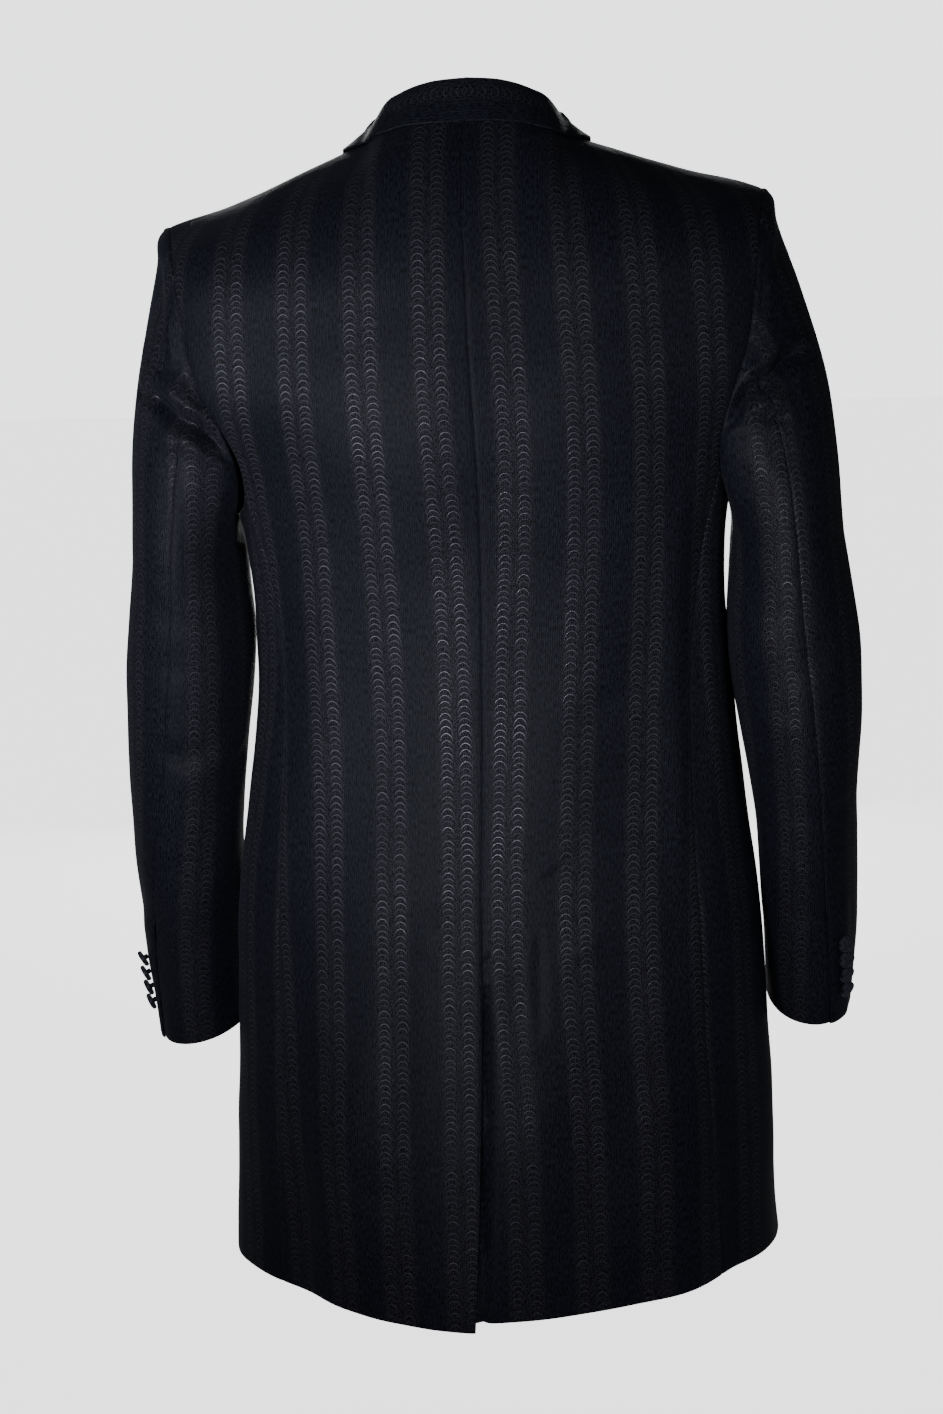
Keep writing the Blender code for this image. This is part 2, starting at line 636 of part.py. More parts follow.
def sleeve_point(side, turn, share):
    """Point of the sleeve's outer face. Share runs from the armhole (0) to the cuff (1)."""
    turn, share = np.broadcast_arrays(np.asarray(turn, float), np.asarray(share, float))
    count = len(ARMHOLE_LOOP)
    loop, loop_normal = ARMHOLE_LOOP, ARMHOLE_NORMALS
    near = count // 48
    round_way = unit(np.roll(loop, -near, axis=0) - np.roll(loop, near, axis=0))
    past = unit(np.cross(round_way, loop_normal))
    at_turn = np.arange(count) * 2 * pi / count
    under = (1 - np.cos(at_turn)) / 2
    bend = np.radians(UNDERARM_BEND) * under**2.6
    leave = past * np.cos(bend)[:, None] + loop_normal * np.sin(bend)[:, None]
    leave[:, 2] = np.where(under < 0.9, leave[:, 2], np.minimum(leave[:, 2], -0.5))
    leave = unit(leave)
    # Near the tip the sleeve starts past the seam, and at the underarm beside it.
    apart = ARMHOLE_GAP * (1 - under**2)
    beside = 2.5 * ARMHOLE_GAP * under**2
    clear = leave * apart[:, None] + loop_normal * beside[:, None]
    loop = loop + clear

    def on_loop(values, turn):
        place = (turn / (2 * pi)) % 1 * count
        low = np.floor(place).astype(int) % count
        part = (place - np.floor(place))[..., None]
        return values[low] * (1 - part) + values[(low + 1) % count] * part

    start = on_loop(loop, turn)
    leaving = on_loop(leave, turn)
    under_here = (1 - np.cos(turn)) / 2
    end, down = tube_row(np.full_like(turn, CAP_END), turn)
    handle = CAP_ROUND + CAP_ROUND_SIDES * np.sin(turn) ** 2
    drop = np.abs(start[..., 2] - CAP_END)
    first = start + leaving * (handle * (1 - 0.6 * under_here**4))[..., None]
    second = end - down * (0.10 * drop + 0.45 * drop * (1 - under_here))[..., None]
    t = np.clip(share / CAP_SHARE, 0, 1)[..., None]
    cap = (
        start * (1 - t) ** 3
        + first * 3 * t * (1 - t) ** 2
        + second * 3 * t**2 * (1 - t)
        + end * t**3
    )
    z = CAP_END + (CUFF - CAP_END) * np.clip((share - CAP_SHARE) / (1 - CAP_SHARE), 0, 1)
    lower, _ = tube_row(z, turn)
    points = np.where((share < CAP_SHARE)[..., None], cap, lower)
    return points * np.array([side, 1.0, 1.0])


def sleeve(side, turn, share):
    """Point and normal of the sleeve, turned a little about its own line as it hangs."""
    turn, share = np.broadcast_arrays(np.asarray(turn, float), np.asarray(share, float))
    step = 1e-3

    def surface(turn, share):
        twist = np.radians(SLEEVE_TURN[side]) * soft_step(0.6, 1.0, share)
        points = sleeve_point(side, turn + twist, share)
        rise = SLEEVE_RISE[side] * soft_step(0.25, 1.0, share)
        slant = CUFF_SLANT[side] * np.cos(turn) * soft_step(0.75, 1.0, share)
        points[..., 2] += rise - slant
        lower = soft_step(0.40, 0.75, share)
        upper = soft_step(0.0, 0.14, share) - lower
        flat = UPPER_FLAT[side] * upper + LOWER_FLAT[side] * lower
        points[..., 0] -= side * flat * np.maximum(np.cos(turn), 0)
        return points

    round_way = surface(turn + step, share) - surface(turn - step, share)
    down_way = surface(turn, np.minimum(share + step, 1)) - surface(
        turn, np.maximum(share - step, 0)
    )
    normal = unit(np.cross(down_way, round_way)) * side
    return surface(turn, share), normal


# Rows of the sleeve: over the cap, down to the cuff vent, and along it
CAP_SHARE = 0.36
CUFF_REACH = 0.044      # the cuff's mean radius, which turns lengths into angles
FOREARM_SLANT = 1.08    # length along the forearm over its height
CUFF_SHARE_PER_METRE = (1 - CAP_SHARE) / (CAP_END - CUFF) / FOREARM_SLANT
VENT_SHARE = 1 - CUFF_VENT * CUFF_SHARE_PER_METRE
SLEEVE_SHARES = np.concatenate(
    [
        np.linspace(0, CAP_SHARE, 10),
        np.linspace(CAP_SHARE, VENT_SHARE - 0.04, 9)[1:],
        [VENT_SHARE, VENT_SHARE + 0.03],
        np.linspace(VENT_SHARE + 0.03, 1, 4)[1:],
    ]
)


def over_cuff_vent(turn, share, back):
    """How far the upper sleeve stands off over the under sleeve's underlap."""
    beside = (back - turn) * CUFF_REACH
    near = 1 - soft_step(CUFF_UNDERLAP + 0.004, CUFF_UNDERLAP + 0.020, beside)
    return LAYER * near * soft_step(VENT_SHARE - 0.04, VENT_SHARE, share)


def sleeve_seam(share, name):
    return np.radians(read(SLEEVE_SEAMS, "share", name, share))


def make_sleeve(side):
    share = SLEEVE_SHARES
    back = sleeve_seam(share, "back")
    front = sleeve_seam(share, "front")

    across = np.linspace(0, 1, 15)
    turn = (front - 2 * pi)[:, None] + (back - front + 2 * pi)[:, None] * across
    outer, normal = sleeve(side, turn, share[:, None])
    lift = over_cuff_vent(turn, share[:, None], back[:, None])
    outer = outer + normal * lift[..., None]
    outer = draw_in(outer, (0, 0, 1, 1))
    inner = outer - normal * WALL
    name = "sleeve_upper_" + SIDE_NAME[side]
    wall(name, pose(outer), pose(inner), cloth)

    # The under sleeve runs on beneath the upper one along the cuff vent.
    across = np.linspace(0, 1, 10)
    start = back - soft_step(VENT_SHARE, VENT_SHARE + 0.03, share) * CUFF_UNDERLAP / CUFF_REACH
    turn = start[:, None] + (front - start)[:, None] * across
    outer, normal = sleeve(side, turn, share[:, None])
    outer = draw_in(outer, (0, 0, 1, 1))
    inner = outer - normal * WALL
    name = "sleeve_under_" + SIDE_NAME[side]
    wall(name, pose(outer), pose(inner), cloth)


# Collar


def collar_rows(side, rows, share, front):
    """Base, fold and edge of the collar, and the lift of the fall off the trunk."""
    get = lambda name: read(rows, "share", name, share)
    if front:
        base_level = np.interp(share, column(rows, "share"), column(rows, "base_level"))
        base_x = front_edge(np.maximum(base_level, BREAK))
    else:
        base_level = np.zeros_like(share)
        base_x = NECK_HALF_WIDTH * np.sin(share * pi / 2)
    base_theta = angle_at(base_x, base_level, front)
    edge_level = get("edge_level")
    edge_theta = angle_at(get("edge_x"), edge_level, front)
    base, base_normal = coat(side, base_theta, base_level, out=SEAM_GAP)
    up = np.array([0.0, 0.0, 1.0])
    to_neck = unit(NECK_MIDDLE - base * np.array([1.0, 1.0, 0.0]))
    standing = unit(up * get("rise")[:, None] + to_neck * get("lean")[:, None])
    flat = soft_step(0.0, 0.22, share)[:, None] if front else np.zeros((len(share), 1))
    way = unit(standing * (1 - flat) + base_normal * flat)
    fold = base + way * get("rise")[:, None]
    return base, fold, way, base_theta, base_level, edge_theta, edge_level


COLLAR_COLUMNS = 8      # of the fall
COLLAR_BEND = 0.0085    # length of the stand that the fold takes up
COLLAR_OFF_BACK = 0.0024
COLLAR_OFF_FRONT = 0.0014
NECK_MIDDLE = np.array([0.0, -0.01, 0.0])


def make_collar(side):
    back_share = np.linspace(0, 1, 9)
    # Down the front the collar has its rows where the front panel has its own.
    low_end = COLLAR_FRONT[-1].base_level
    front_level = np.concatenate([SEAM_LEVELS, upper_levels(UPPER_ROWS)])[::-1]
    front_level = np.append(front_level[front_level > low_end + 0.01], low_end)[1:]
    front_share = np.interp(
        -front_level, -column(COLLAR_FRONT, "base_level"), column(COLLAR_FRONT, "share")
    )
    halves = (
        collar_rows(side, COLLAR_BACK, back_share, False),
        collar_rows(side, COLLAR_FRONT, front_share, True),
    )
    rows = [np.concatenate(pair) for pair in zip(*halves)]
    base, fold, way, base_theta, base_level, edge_theta, edge_level = rows
    is_front = np.arange(len(base)) >= len(back_share)
    base = base + way * SEAM_GAP * 1.5
    down = np.linspace(0, 1, COLLAR_COLUMNS)
    theta = base_theta[:, None] + (edge_theta - base_theta)[:, None] * down
    level = base_level[:, None] + (edge_level - base_level)[:, None] * down
    clear = COLLAR_WALL / 2 + np.where(is_front, COLLAR_OFF_FRONT, COLLAR_OFF_BACK)[:, None]
    lying, normal = coat(side, theta, level, out=0.0)
    lying = lying + normal * clear[..., None]
    lift = fold - lying[:, 0]
    fade = (1 - down) ** 1.6
    fall = lying + lift[:, None] * fade[None, :, None]
    corner = fall[:, 0]
    stand_length = np.linalg.norm(base - corner, axis=1, keepdims=True)
    before = corner + unit(base - corner) * np.minimum(COLLAR_BEND, 0.42 * stand_length)
    after = fall[:, 1]
    grid = [base + (before - base) * t for t in np.linspace(0, 1, 3)]
    for t in (0.25, 0.5, 0.75):
        grid.append(before * (1 - t) ** 2 + corner * 2 * t * (1 - t) + after * t * t)
    grid += [fall[:, i] for i in range(1, len(down))]
    middle = np.stack(grid, axis=1)
    middle[0, :, 0] = side * SEAM_GAP / 2
    along = np.gradient(middle, axis=0)
    over = np.gradient(middle, axis=1)
    normal = unit(np.cross(along, over))
    normal[0, :, 0] = 0
    normal = unit(normal)
    outer = middle + normal * COLLAR_WALL / 2
    inner = middle - normal * COLLAR_WALL / 2
    wall("collar_" + SIDE_NAME[side], pose(outer), pose(inner), collar_cloth)


# Buttons


def covered_button(name, diameter, height, place, facing, material):
    """A flat disc under cloth: a turned profile with a soft rim and a low dome."""
    radius = diameter / 2
    profile = (
        (0.0, 0.0),
        (0.86 * radius, 0.0),
        (radius, 0.35 * height),
        (0.93 * radius, 0.72 * height),
        (0.55 * radius, 0.96 * height),
        (0.0, height),
    )
    mesh = bpy.data.meshes.new(name)
    edges = [(i, i + 1) for i in range(len(profile) - 1)]
    mesh.from_pydata([(r, 0, h) for r, h in profile], edges, [])
    made = bpy.data.objects.new(name, mesh)
    turned = made.modifiers.new("turned", "SCREW")
    turned.steps = turned.render_steps = 14
    turned.use_merge_vertices = True
    turned.merge_threshold = 1e-5
    turned.use_normal_calculate = True
    mesh.materials.append(material)
    turn = Vector(facing).to_track_quat("Z", "Y").to_matrix().to_4x4()
    made.matrix_world = Matrix.Translation(Vector(place)) @ turn
    parts.objects.link(made)
    return made


def make_cuff_buttons(side):
    for number in range(4):
        above = LAST_BUTTON + CUFF_BUTTON_PITCH * number
        share = 1 - above * CUFF_SHARE_PER_METRE
        seam = sleeve_seam(np.array(share), "back")
        turn = seam - BUTTON_INSET / CUFF_REACH
        point, normal = sleeve(side, np.array([turn]), np.array([share]))
        lift = over_cuff_vent(turn, share, seam) + SEAM_GAP
        place = pose(point + normal * lift)[0]
        name = f"cuff_button_{SIDE_NAME[side]}_{number + 1}"
        covered_button(name, CUFF_BUTTON, 0.0040, place, normal[0], button_cloth)


def make_front_button():
    level = np.array([BREAK - BUTTON_BELOW_BREAK])
    theta = angle_at(np.array([0.0]), level, front=True)
    point, normal = coat(LEFT, theta, level, out=1.5 * SEAM_GAP)
    covered_button("front_button", FRONT_BUTTON, 0.0050, point[0], normal[0], button_cloth)


def make_material(name, colour, roughness, sheen):
    material = bpy.data.materials.new(name)
    material.use_nodes = True
    shader = material.node_tree.nodes["Principled BSDF"]
    shader.inputs["Base Color"].default_value = colour
    shader.inputs["Roughness"].default_value = roughness
    shader.inputs["Metallic"].default_value = 0.0
    shader.inputs["Sheen Weight"].default_value = sheen
    return material


for old in list(bpy.data.objects):
    bpy.data.objects.remove(old)

parts = bpy.data.collections.new("Long blazer")
bpy.context.scene.collection.children.link(parts)
cloth = make_material("jacquard", CLOTH_COLOUR, 0.55, 0.3)
collar_cloth = make_material("collar jacquard", COLLAR_COLOUR, 0.5, 0.3)
button_cloth = make_material("covered button", BUTTON_COLOUR, 0.6, 0.2)

for side in (LEFT, RIGHT):
    make_back(side)
    make_side(side)
    make_front(side)
    make_sleeve(side)
    make_collar(side)
    make_cuff_buttons(side)
make_front_button()
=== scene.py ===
import math
from functools import partialmethod

import bpy
import numpy as np
from mathutils import Matrix, Vector


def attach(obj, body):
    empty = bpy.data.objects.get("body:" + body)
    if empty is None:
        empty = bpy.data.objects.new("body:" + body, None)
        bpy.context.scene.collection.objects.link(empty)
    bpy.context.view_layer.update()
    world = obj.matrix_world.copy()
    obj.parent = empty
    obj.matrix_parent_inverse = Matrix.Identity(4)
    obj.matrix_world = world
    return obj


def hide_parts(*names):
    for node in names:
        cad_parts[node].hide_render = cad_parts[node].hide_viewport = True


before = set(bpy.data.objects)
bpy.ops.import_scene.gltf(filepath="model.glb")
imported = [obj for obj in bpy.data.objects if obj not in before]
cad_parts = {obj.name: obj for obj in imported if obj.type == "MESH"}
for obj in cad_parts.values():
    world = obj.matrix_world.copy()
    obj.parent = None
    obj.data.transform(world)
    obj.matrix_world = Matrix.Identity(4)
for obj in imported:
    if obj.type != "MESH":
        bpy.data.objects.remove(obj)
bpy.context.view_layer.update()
print("frame loaded")

left, right = 1, -1
sideName = {left: "left", right: "right"}

# Sizes shared with the part's source
cut = {
    "wall": 0.0016,
    "collarWall": 0.0022,
    "seamGap": 0.0003,
    "armholeGap": 0.0006,
    "hem": -0.927,
    "yoke": -0.140,
    "underarm": -0.300,
    "neckHalfWidth": 0.075,
    "ventTop": -0.632,
    "ventRise": -0.587,
    "ventUnderlap": 0.036,
    "ventDrift": 0.011,
    "layer": 0.0025,
    "lapelLayers": 0.0048,
    "settle": 0.040,
    "lapelBreak": -0.400,
    "overlap": 0.018,
    "corner": 0.075,
    "sideSeamTop": -0.275,
    "backRound": 0.68,
    "hemLift": 0.018,
    "hemLiftTop": -0.600,
    "hemRaise": {left: 0.0, right: 0.008},
    "shoulderDrop": 0.009,
}


def table(text):
    # Named columns, with the rows sorted by the first one
    names, *rows = (line.split() for line in text.strip().splitlines())
    return dict(zip(names, np.array(sorted([float(v) for v in row] for row in rows)).T))


def tuples(text):
    return np.array([line.split() for line in text.strip().splitlines()], float)


rings = table("""
    at halfWidth sideY back front backSquare frontSquare
    -0.932 0.2215 -0.022 0.142 0.134 1.8 2.3
    -0.85 0.2185 -0.02 0.138 0.133 1.9 2.3
    -0.75 0.214 -0.016 0.131 0.131 2.05 2.3
    -0.63 0.2085 -0.01 0.12 0.129 2.2 2.3
    -0.52 0.1965 -0.005 0.102 0.127 2.25 2.3
    -0.42 0.184 -0.002 0.093 0.126 2.3 2.3
    -0.35 0.1845 0 0.099 0.13 2.3 2.2
    -0.3 0.192 0 0.108 0.135 2.3 2.1
    -0.26 0.206 0 0.115 0.137 2.3 2
    -0.205 0.244 0 0.119 0.134 2.3 2
    -0.14 0.25 0 0.117 0.122 2.3 2
""")
tops = table("""
    at backY backZ frontY frontZ backArrival frontArrival
    0 0.062 0 -0.072 -0.1 63 60
    0.03 0.058 -0.002 -0.066 -0.088 52 60
    0.054 0.045 -0.008 -0.048 -0.062 25 52
    0.069 0.022 -0.0135 -0.026 -0.034 8.4 34
    0.075 -0.004 -0.018 -0.004 -0.018 3 22
    0.085 -0.006 -0.0225 -0.006 -0.0225 2.3 18
    0.105 -0.008 -0.031 -0.008 -0.031 2 15
    0.14 -0.009 -0.045 -0.009 -0.045 3.2 14
    0.18 -0.01 -0.058 -0.01 -0.058 6 12
    0.215 -0.01 -0.067 -0.01 -0.067 8.5 12
    0.25 -0.01 -0.08 -0.01 -0.08 10 12
""")
armhole = table("""
    at backX frontX
    -0.3 0.192 0.192
    -0.29 0.186 0.184
    -0.275 0.183 0.178
    -0.255 0.184 0.175
    -0.225 0.194 0.174
    -0.19 0.208 0.178
    -0.14 0.217 0.188
    -0.07 0.224 0.208
    0 0.23 0.23
""")
sideSeams = table("""
    at backX frontX
    -0.932 0.178 0.186
    -0.75 0.17 0.182
    -0.63 0.165 0.178
    -0.52 0.16 0.17
    -0.42 0.159 0.165
    -0.34 0.168 0.17
    -0.275 0.183 0.178
""")
frontEdges = table("""
    at x
    -0.4 -0.018
    -0.3 0.003
    -0.2 0.024
    -0.14 0.037
    -0.09 0.047
    -0.045 0.06
    0 0.075
""")
sections = table("""
    at x y halfWidth halfDepth
    -0.335 0.2375 0.002 0.0475 0.076
    -0.41 0.24 0.004 0.0525 0.07
    -0.49 0.2455 0.001 0.0505 0.063
    -0.57 0.2505 -0.014 0.0445 0.0585
    -0.65 0.251 -0.036 0.041 0.055
    -0.728 0.25 -0.062 0.039 0.052
""")
sleeveSeams = table("""
    at back front
    0 100 262
    0.25 92 250
    0.55 82 246
    0.8 72 244
    1 64 244
""")
collarBack = table("""
    at baseLevel edgeX edgeLevel rise lean
    0 0 0 -0.014 0.0275 0.006
    0.4 0 0.048 -0.017 0.0265 0.008
    0.6 0 0.07 -0.022 0.0255 0.009
    0.75 0 0.083 -0.018 0.024 0.01
    0.875 0 0.09 -0.0085 0.023 0.011
    1 0 0.094 0 0.0215 0.012
""")
collarFront = table("""
    at baseLevel edgeX edgeLevel rise lean
    0 0 0.094 0 0.0215 0.012
    0.1 -0.045 0.103 -0.045 0.017 0.005
    0.22 -0.09 0.112 -0.095 0.012 0
    0.4 -0.165 0.114 -0.17 0.008 0
    0.6 -0.24 0.1 -0.25 0.006 0
    0.8 -0.315 0.062 -0.325 0.0042 0
    1 -0.385 0.002 -0.388 0.003 0
""")
sways = table("""
    at x turn
    -0.932 0.0015 0
    -0.75 0.002 0
    -0.6 0.001 0
    -0.45 -0.0005 1.2
    -0.3 0.0015 3.8
    -0.15 0.008 4.8
    -0.06 0.009 4.8
    0.03 0.003 3
""")
# Folds of the skirt: degrees round from the centre back, width, depth at the hem, top
folds = {
    left: tuples("""
        24 9 0.004 -0.52
        47 8 -0.004 -0.6
        74 10 0.003 -0.56
        122 12 -0.0035 -0.6
    """),
    right: tuples("""
        20 8 -0.003 -0.58
        42 9 0.006 -0.5
        60 7 -0.0045 -0.62
        118 12 -0.003 -0.6
    """),
}
sleeves = {
    "turn": {left: -30.0, right: 2.0},
    "rise": {left: 0.002, right: 0.021},
    "slant": {left: 0.008, right: 0.002},
    "upperFlat": {left: 0.0060, right: 0.0045},
    "lowerFlat": {left: 0.0010, right: 0.0085},
    "bend": 165,
    "capRound": 0.016,
    "capRoundSides": 0.010,
    "step": 0.0028,
    "capShare": 0.36,
    "reach": 0.044,
    "slope": 1.08,
    "grainTurn": math.radians(84),
    "vent": 0.100,
    "underlap": 0.014,
    "length": 0.66,
    "upperWidth": 0.24,
    "underWidth": 0.15,
    "button": 0.0140,
    "buttonHeight": 0.0040,
    "buttonPitch": 0.0147,
    "lastButton": 0.031,
    "buttonInset": 0.015,
}
step = 0.0040  # of the fine meshes
edgeSteps = np.array([0, 0.0006, 0.0014, 0.0026])  # closer ones along each border


def curveThrough(xs, ys, at):
    at = np.clip(np.asarray(at, float), xs[0], xs[-1])
    slopes = np.gradient(ys, xs)
    i = np.clip(np.searchsorted(xs, at, side="right") - 1, 0, len(xs) - 2)
    span = xs[i + 1] - xs[i]
    t = (at - xs[i]) / span
    rising = t * t * (3 - 2 * t)
    bends = t * (1 - t) ** 2 * slopes[i] + t * t * (t - 1) * slopes[i + 1]
    return ys[i] * (1 - rising) + ys[i + 1] * rising + bends * span


def read(rows, name, at):
    return curveThrough(rows["at"], rows[name], at)


def readHalf(rows, name, at, behind):
    # From the column for the back where behind is true, else from the front's
    return np.where(behind, read(rows, "back" + name, at), read(rows, "front" + name, at))


def matched(*values):
    return np.broadcast_arrays(*(np.asarray(value, float) for value in values))


def softStep(low, high, at):
    t = np.clip((np.asarray(at, float) - low) / (high - low), 0, 1)
    return t * t * (3 - 2 * t)


def bent(t, *points):
    # The point at t of the curve that these points pull from the first to the last
    while len(points) > 1:
        points = [a + (b - a) * t for a, b in zip(points, points[1:])]
    return points[0]


def unit(vectors):
    return vectors / np.maximum(np.linalg.norm(vectors, axis=-1, keepdims=True), 1e-12)


def lengths(points, axis):
    # Running length along a grid's rows (axis 1) or columns (axis 0)
    steps = np.linalg.norm(np.diff(points, axis=axis), axis=-1)
    return np.insert(np.cumsum(steps, axis=axis), 0, 0, axis=axis)


# The trunk: theta runs round from the centre back (0) to the centre front (pi), and
# level is the height that a row has at the centre back
def ringPoint(theta, z):
    behind = np.cos(theta) > 0
    depth, square = readHalf(rings, "", z, behind), readHalf(rings, "Square", z, behind)
    across, along = np.sin(theta), np.cos(theta)
    x = read(rings, "halfWidth", z) * np.sign(across) * np.abs(across) ** (2 / square)
    y = depth * np.sign(along) * np.abs(along) ** (2 / square)
    y = y + read(rings, "sideY", z) * across**2
    z = z + cut["hemLift"] * across**2 * (1 - softStep(cut["hem"], cut["hemLiftTop"], z))
    return np.stack(np.broadcast_arrays(x, y, z), axis=-1)


def yokePoint(theta, level):
    yoke = cut["yoke"]
    start = ringPoint(theta, np.full_like(theta, yoke))
    x = np.abs(start[..., 0])
    behind = np.cos(theta) > 0
    endY, endZ, slope = (readHalf(tops, name, x, behind) for name in ("Y", "Z", "Arrival"))
    slope = np.radians(slope)
    end = np.stack([start[..., 0], endY, endZ], axis=-1)
    height, depth = endZ - yoke, np.abs(endY - start[..., 1])
    reach = np.where(
        behind,
        (cut["backRound"] * start[..., 1] - endY) / np.cos(slope),
        (0.30 + 0.25 * np.cos(slope)) * (0.5 * height + 0.5 * depth),
    )
    inward = np.where(behind, -1.0, 1.0) * np.cos(slope) * reach
    lift = start + np.stack([0 * x, 0 * x, 0.52 * height], axis=-1)
    settled = end - np.stack([0 * x, inward, np.sin(slope) * reach], axis=-1)
    t = np.clip((level - yoke) / -yoke, 0, 1)[..., None]
    return bent(t, start, lift, settled, end)


def plainTrunk(theta, level):
    theta, level = matched(theta, level)
    low = ringPoint(theta, np.minimum(level, cut["yoke"]))
    return np.where((level > cut["yoke"])[..., None], yokePoint(theta, level), low)


def angleAt(x, level, front=False):
    z = np.minimum(level, cut["yoke"])
    ratio = np.clip(np.asarray(x, float) / read(rings, "halfWidth", z), -1, 1)
    power = read(rings, "frontSquare" if front else "backSquare", z) / 2
    angle = np.arcsin(np.sign(ratio) * np.abs(ratio) ** power)
    return math.pi - angle if front else angle


def standOff(side, theta, level, point):
    x = point[..., 0]
    off = np.zeros_like(x)
    for place, width, depth, top in folds[side]:
        turn = (np.degrees(theta) - place) / width
        off = off + depth * np.exp(-turn * turn) * (1 - softStep(cut["hem"], top, level))
    if side == left:
        # Left front over the right front and its lapel, left back over the vent's underlap
        lap, settle, fold = cut["overlap"], cut["settle"], cut["lapelBreak"]
        near = 1 - softStep(lap + 0.006, lap + settle, x)
        height = cut["layer"] + cut["lapelLayers"] * softStep(fold - 0.10, fold - 0.03, level)
        height = height * (1 - softStep(fold + 0.15, fold + 0.22, level))
        off = off + np.where(theta > math.pi / 2, near * height, 0)
        lap = cut["ventUnderlap"]
        over = 1 - softStep(lap + 0.004, lap + settle, x)
        over = over * (1 - softStep(cut["ventTop"], cut["ventRise"], level))
        off = off + np.where(theta < math.pi / 4, over * cut["layer"], 0)
    return off


def surfaceNormal(theta, level, surface):
    d = 1e-4
    roundWay = surface(theta + d, level) - surface(theta - d, level)
    upWay = surface(theta, np.minimum(level + d, 0)) - surface(theta, level - d)
    return unit(np.cross(upWay, roundWay))


def pose(points):
    x, y, z = points[..., 0], points[..., 1], points[..., 2]
    outward = softStep(0.05, 0.22, np.abs(x)) * np.sign(x)
    onSleeve = softStep(0.195, 0.235, np.abs(x)) * softStep(-0.40, -0.20, z)
    drop = cut["shoulderDrop"] * outward * np.maximum(softStep(-0.42, -0.16, z), onSleeve)
    turn = np.radians(read(sways, "turn", z))
    c, s = np.cos(turn), np.sin(turn)
    return np.stack([x * c - y * s + read(sways, "x", z), x * s + y * c, z - drop], axis=-1)


def coat(side, theta, level):
    theta, level = matched(theta, level)

    def surface(theta, level):
        base = plainTrunk(theta, level)
        normal = surfaceNormal(theta, level, plainTrunk)
        base[..., 2] += cut["hemRaise"][side] * (1 - softStep(cut["hem"], cut["hemLiftTop"], level))
        return base + normal * standOff(side, theta, level, base)[..., None]

    mirror = np.array([side, 1.0, 1.0])
    return surface(theta, level) * mirror, surfaceNormal(theta, level, surface) * mirror


# Where the side body meets the back, or the front
def sideSeam(level, front):
    name = "frontX" if front else "backX"
    low = level < cut["sideSeamTop"]
    x = np.where(low, read(sideSeams, name, level), read(armhole, name, level))
    return angleAt(x, level, front)


def armholeCurve(top, share):
    # The armhole from this level down under the arm and up again in front
    fine = (1 - np.cos(np.linspace(0, math.pi, 400))) / 2
    down = top + (cut["underarm"] - top) * fine
    up = down[::-1][1:]
    back = angleAt(read(armhole, "backX", down), down, False)
    front = angleAt(read(armhole, "frontX", up), up, True)
    theta, level = np.concatenate([back, front]), np.concatenate([down, up])
    along = lengths(plainTrunk(theta, level), 0)
    wanted = share * along[-1]
    return np.interp(wanted, along, theta), np.interp(wanted, along, level)


def armholeLoop(count):
    # Points round the left armhole where the sleeve starts, and the way it goes from each
    rows = cut["sideSeamTop"] * np.linspace(0, 1, 90) ** 1.35
    lowTheta, lowLevel = armholeCurve(cut["sideSeamTop"], np.linspace(0, 1, 60))
    theta = np.concatenate([sideSeam(rows, False), lowTheta[1:-1], sideSeam(rows[::-1], True)])
    corners, normals = coat(left, theta, np.concatenate([rows, lowLevel[1:-1], rows[::-1]]))
    along = lengths(corners, 0)
    wanted = np.linspace(0, along[-1], count + 1)[:-1]
    spread = lambda values: np.stack([np.interp(wanted, along, v) for v in values.T], axis=-1)
    loop, normal = spread(corners), unit(spread(normals))
    near = count // 48
    roundWay = unit(np.roll(loop, -near, axis=0) - np.roll(loop, near, axis=0))
    past = unit(np.cross(roundWay, normal))
    under = (1 - np.cos(np.arange(count) * 2 * math.pi / count))[:, None] / 2
    bend = np.radians(sleeves["bend"]) * under**2.6
    leave = past * np.cos(bend) + normal * np.sin(bend)
    leave[:, 2] = np.where(under[:, 0] < 0.9, leave[:, 2], np.minimum(leave[:, 2], -0.5))
    leave = unit(leave)
    apart, beside = cut["armholeGap"] * (1 - under**2), 2.5 * cut["armholeGap"] * under**2
    return loop + leave * apart + normal * beside, leave


# The sleeves: turn runs round from the outer side over the back, and share from the
# armhole (0) to the cuff (1)
cuffZ, capZ = sections["at"][[0, -1]]


def tubeMiddle(z):
    return np.stack([read(sections, "x", z), read(sections, "y", z), z], axis=-1)


def tubeRow(z, turn):
    down = unit(tubeMiddle(np.maximum(z - 0.004, cuffZ)) - tubeMiddle(np.minimum(z + 0.004, capZ)))
    out = unit(np.array([1.0, 0, 0]) - down * down[..., :1])
    wide = (read(sections, "halfWidth", z) * np.cos(turn))[..., None]
    deep = (read(sections, "halfDepth", z) * np.sin(turn))[..., None]
    return tubeMiddle(z) + out * wide + np.cross(out, down) * deep, down


loopPoints, loopWays = armholeLoop(720)


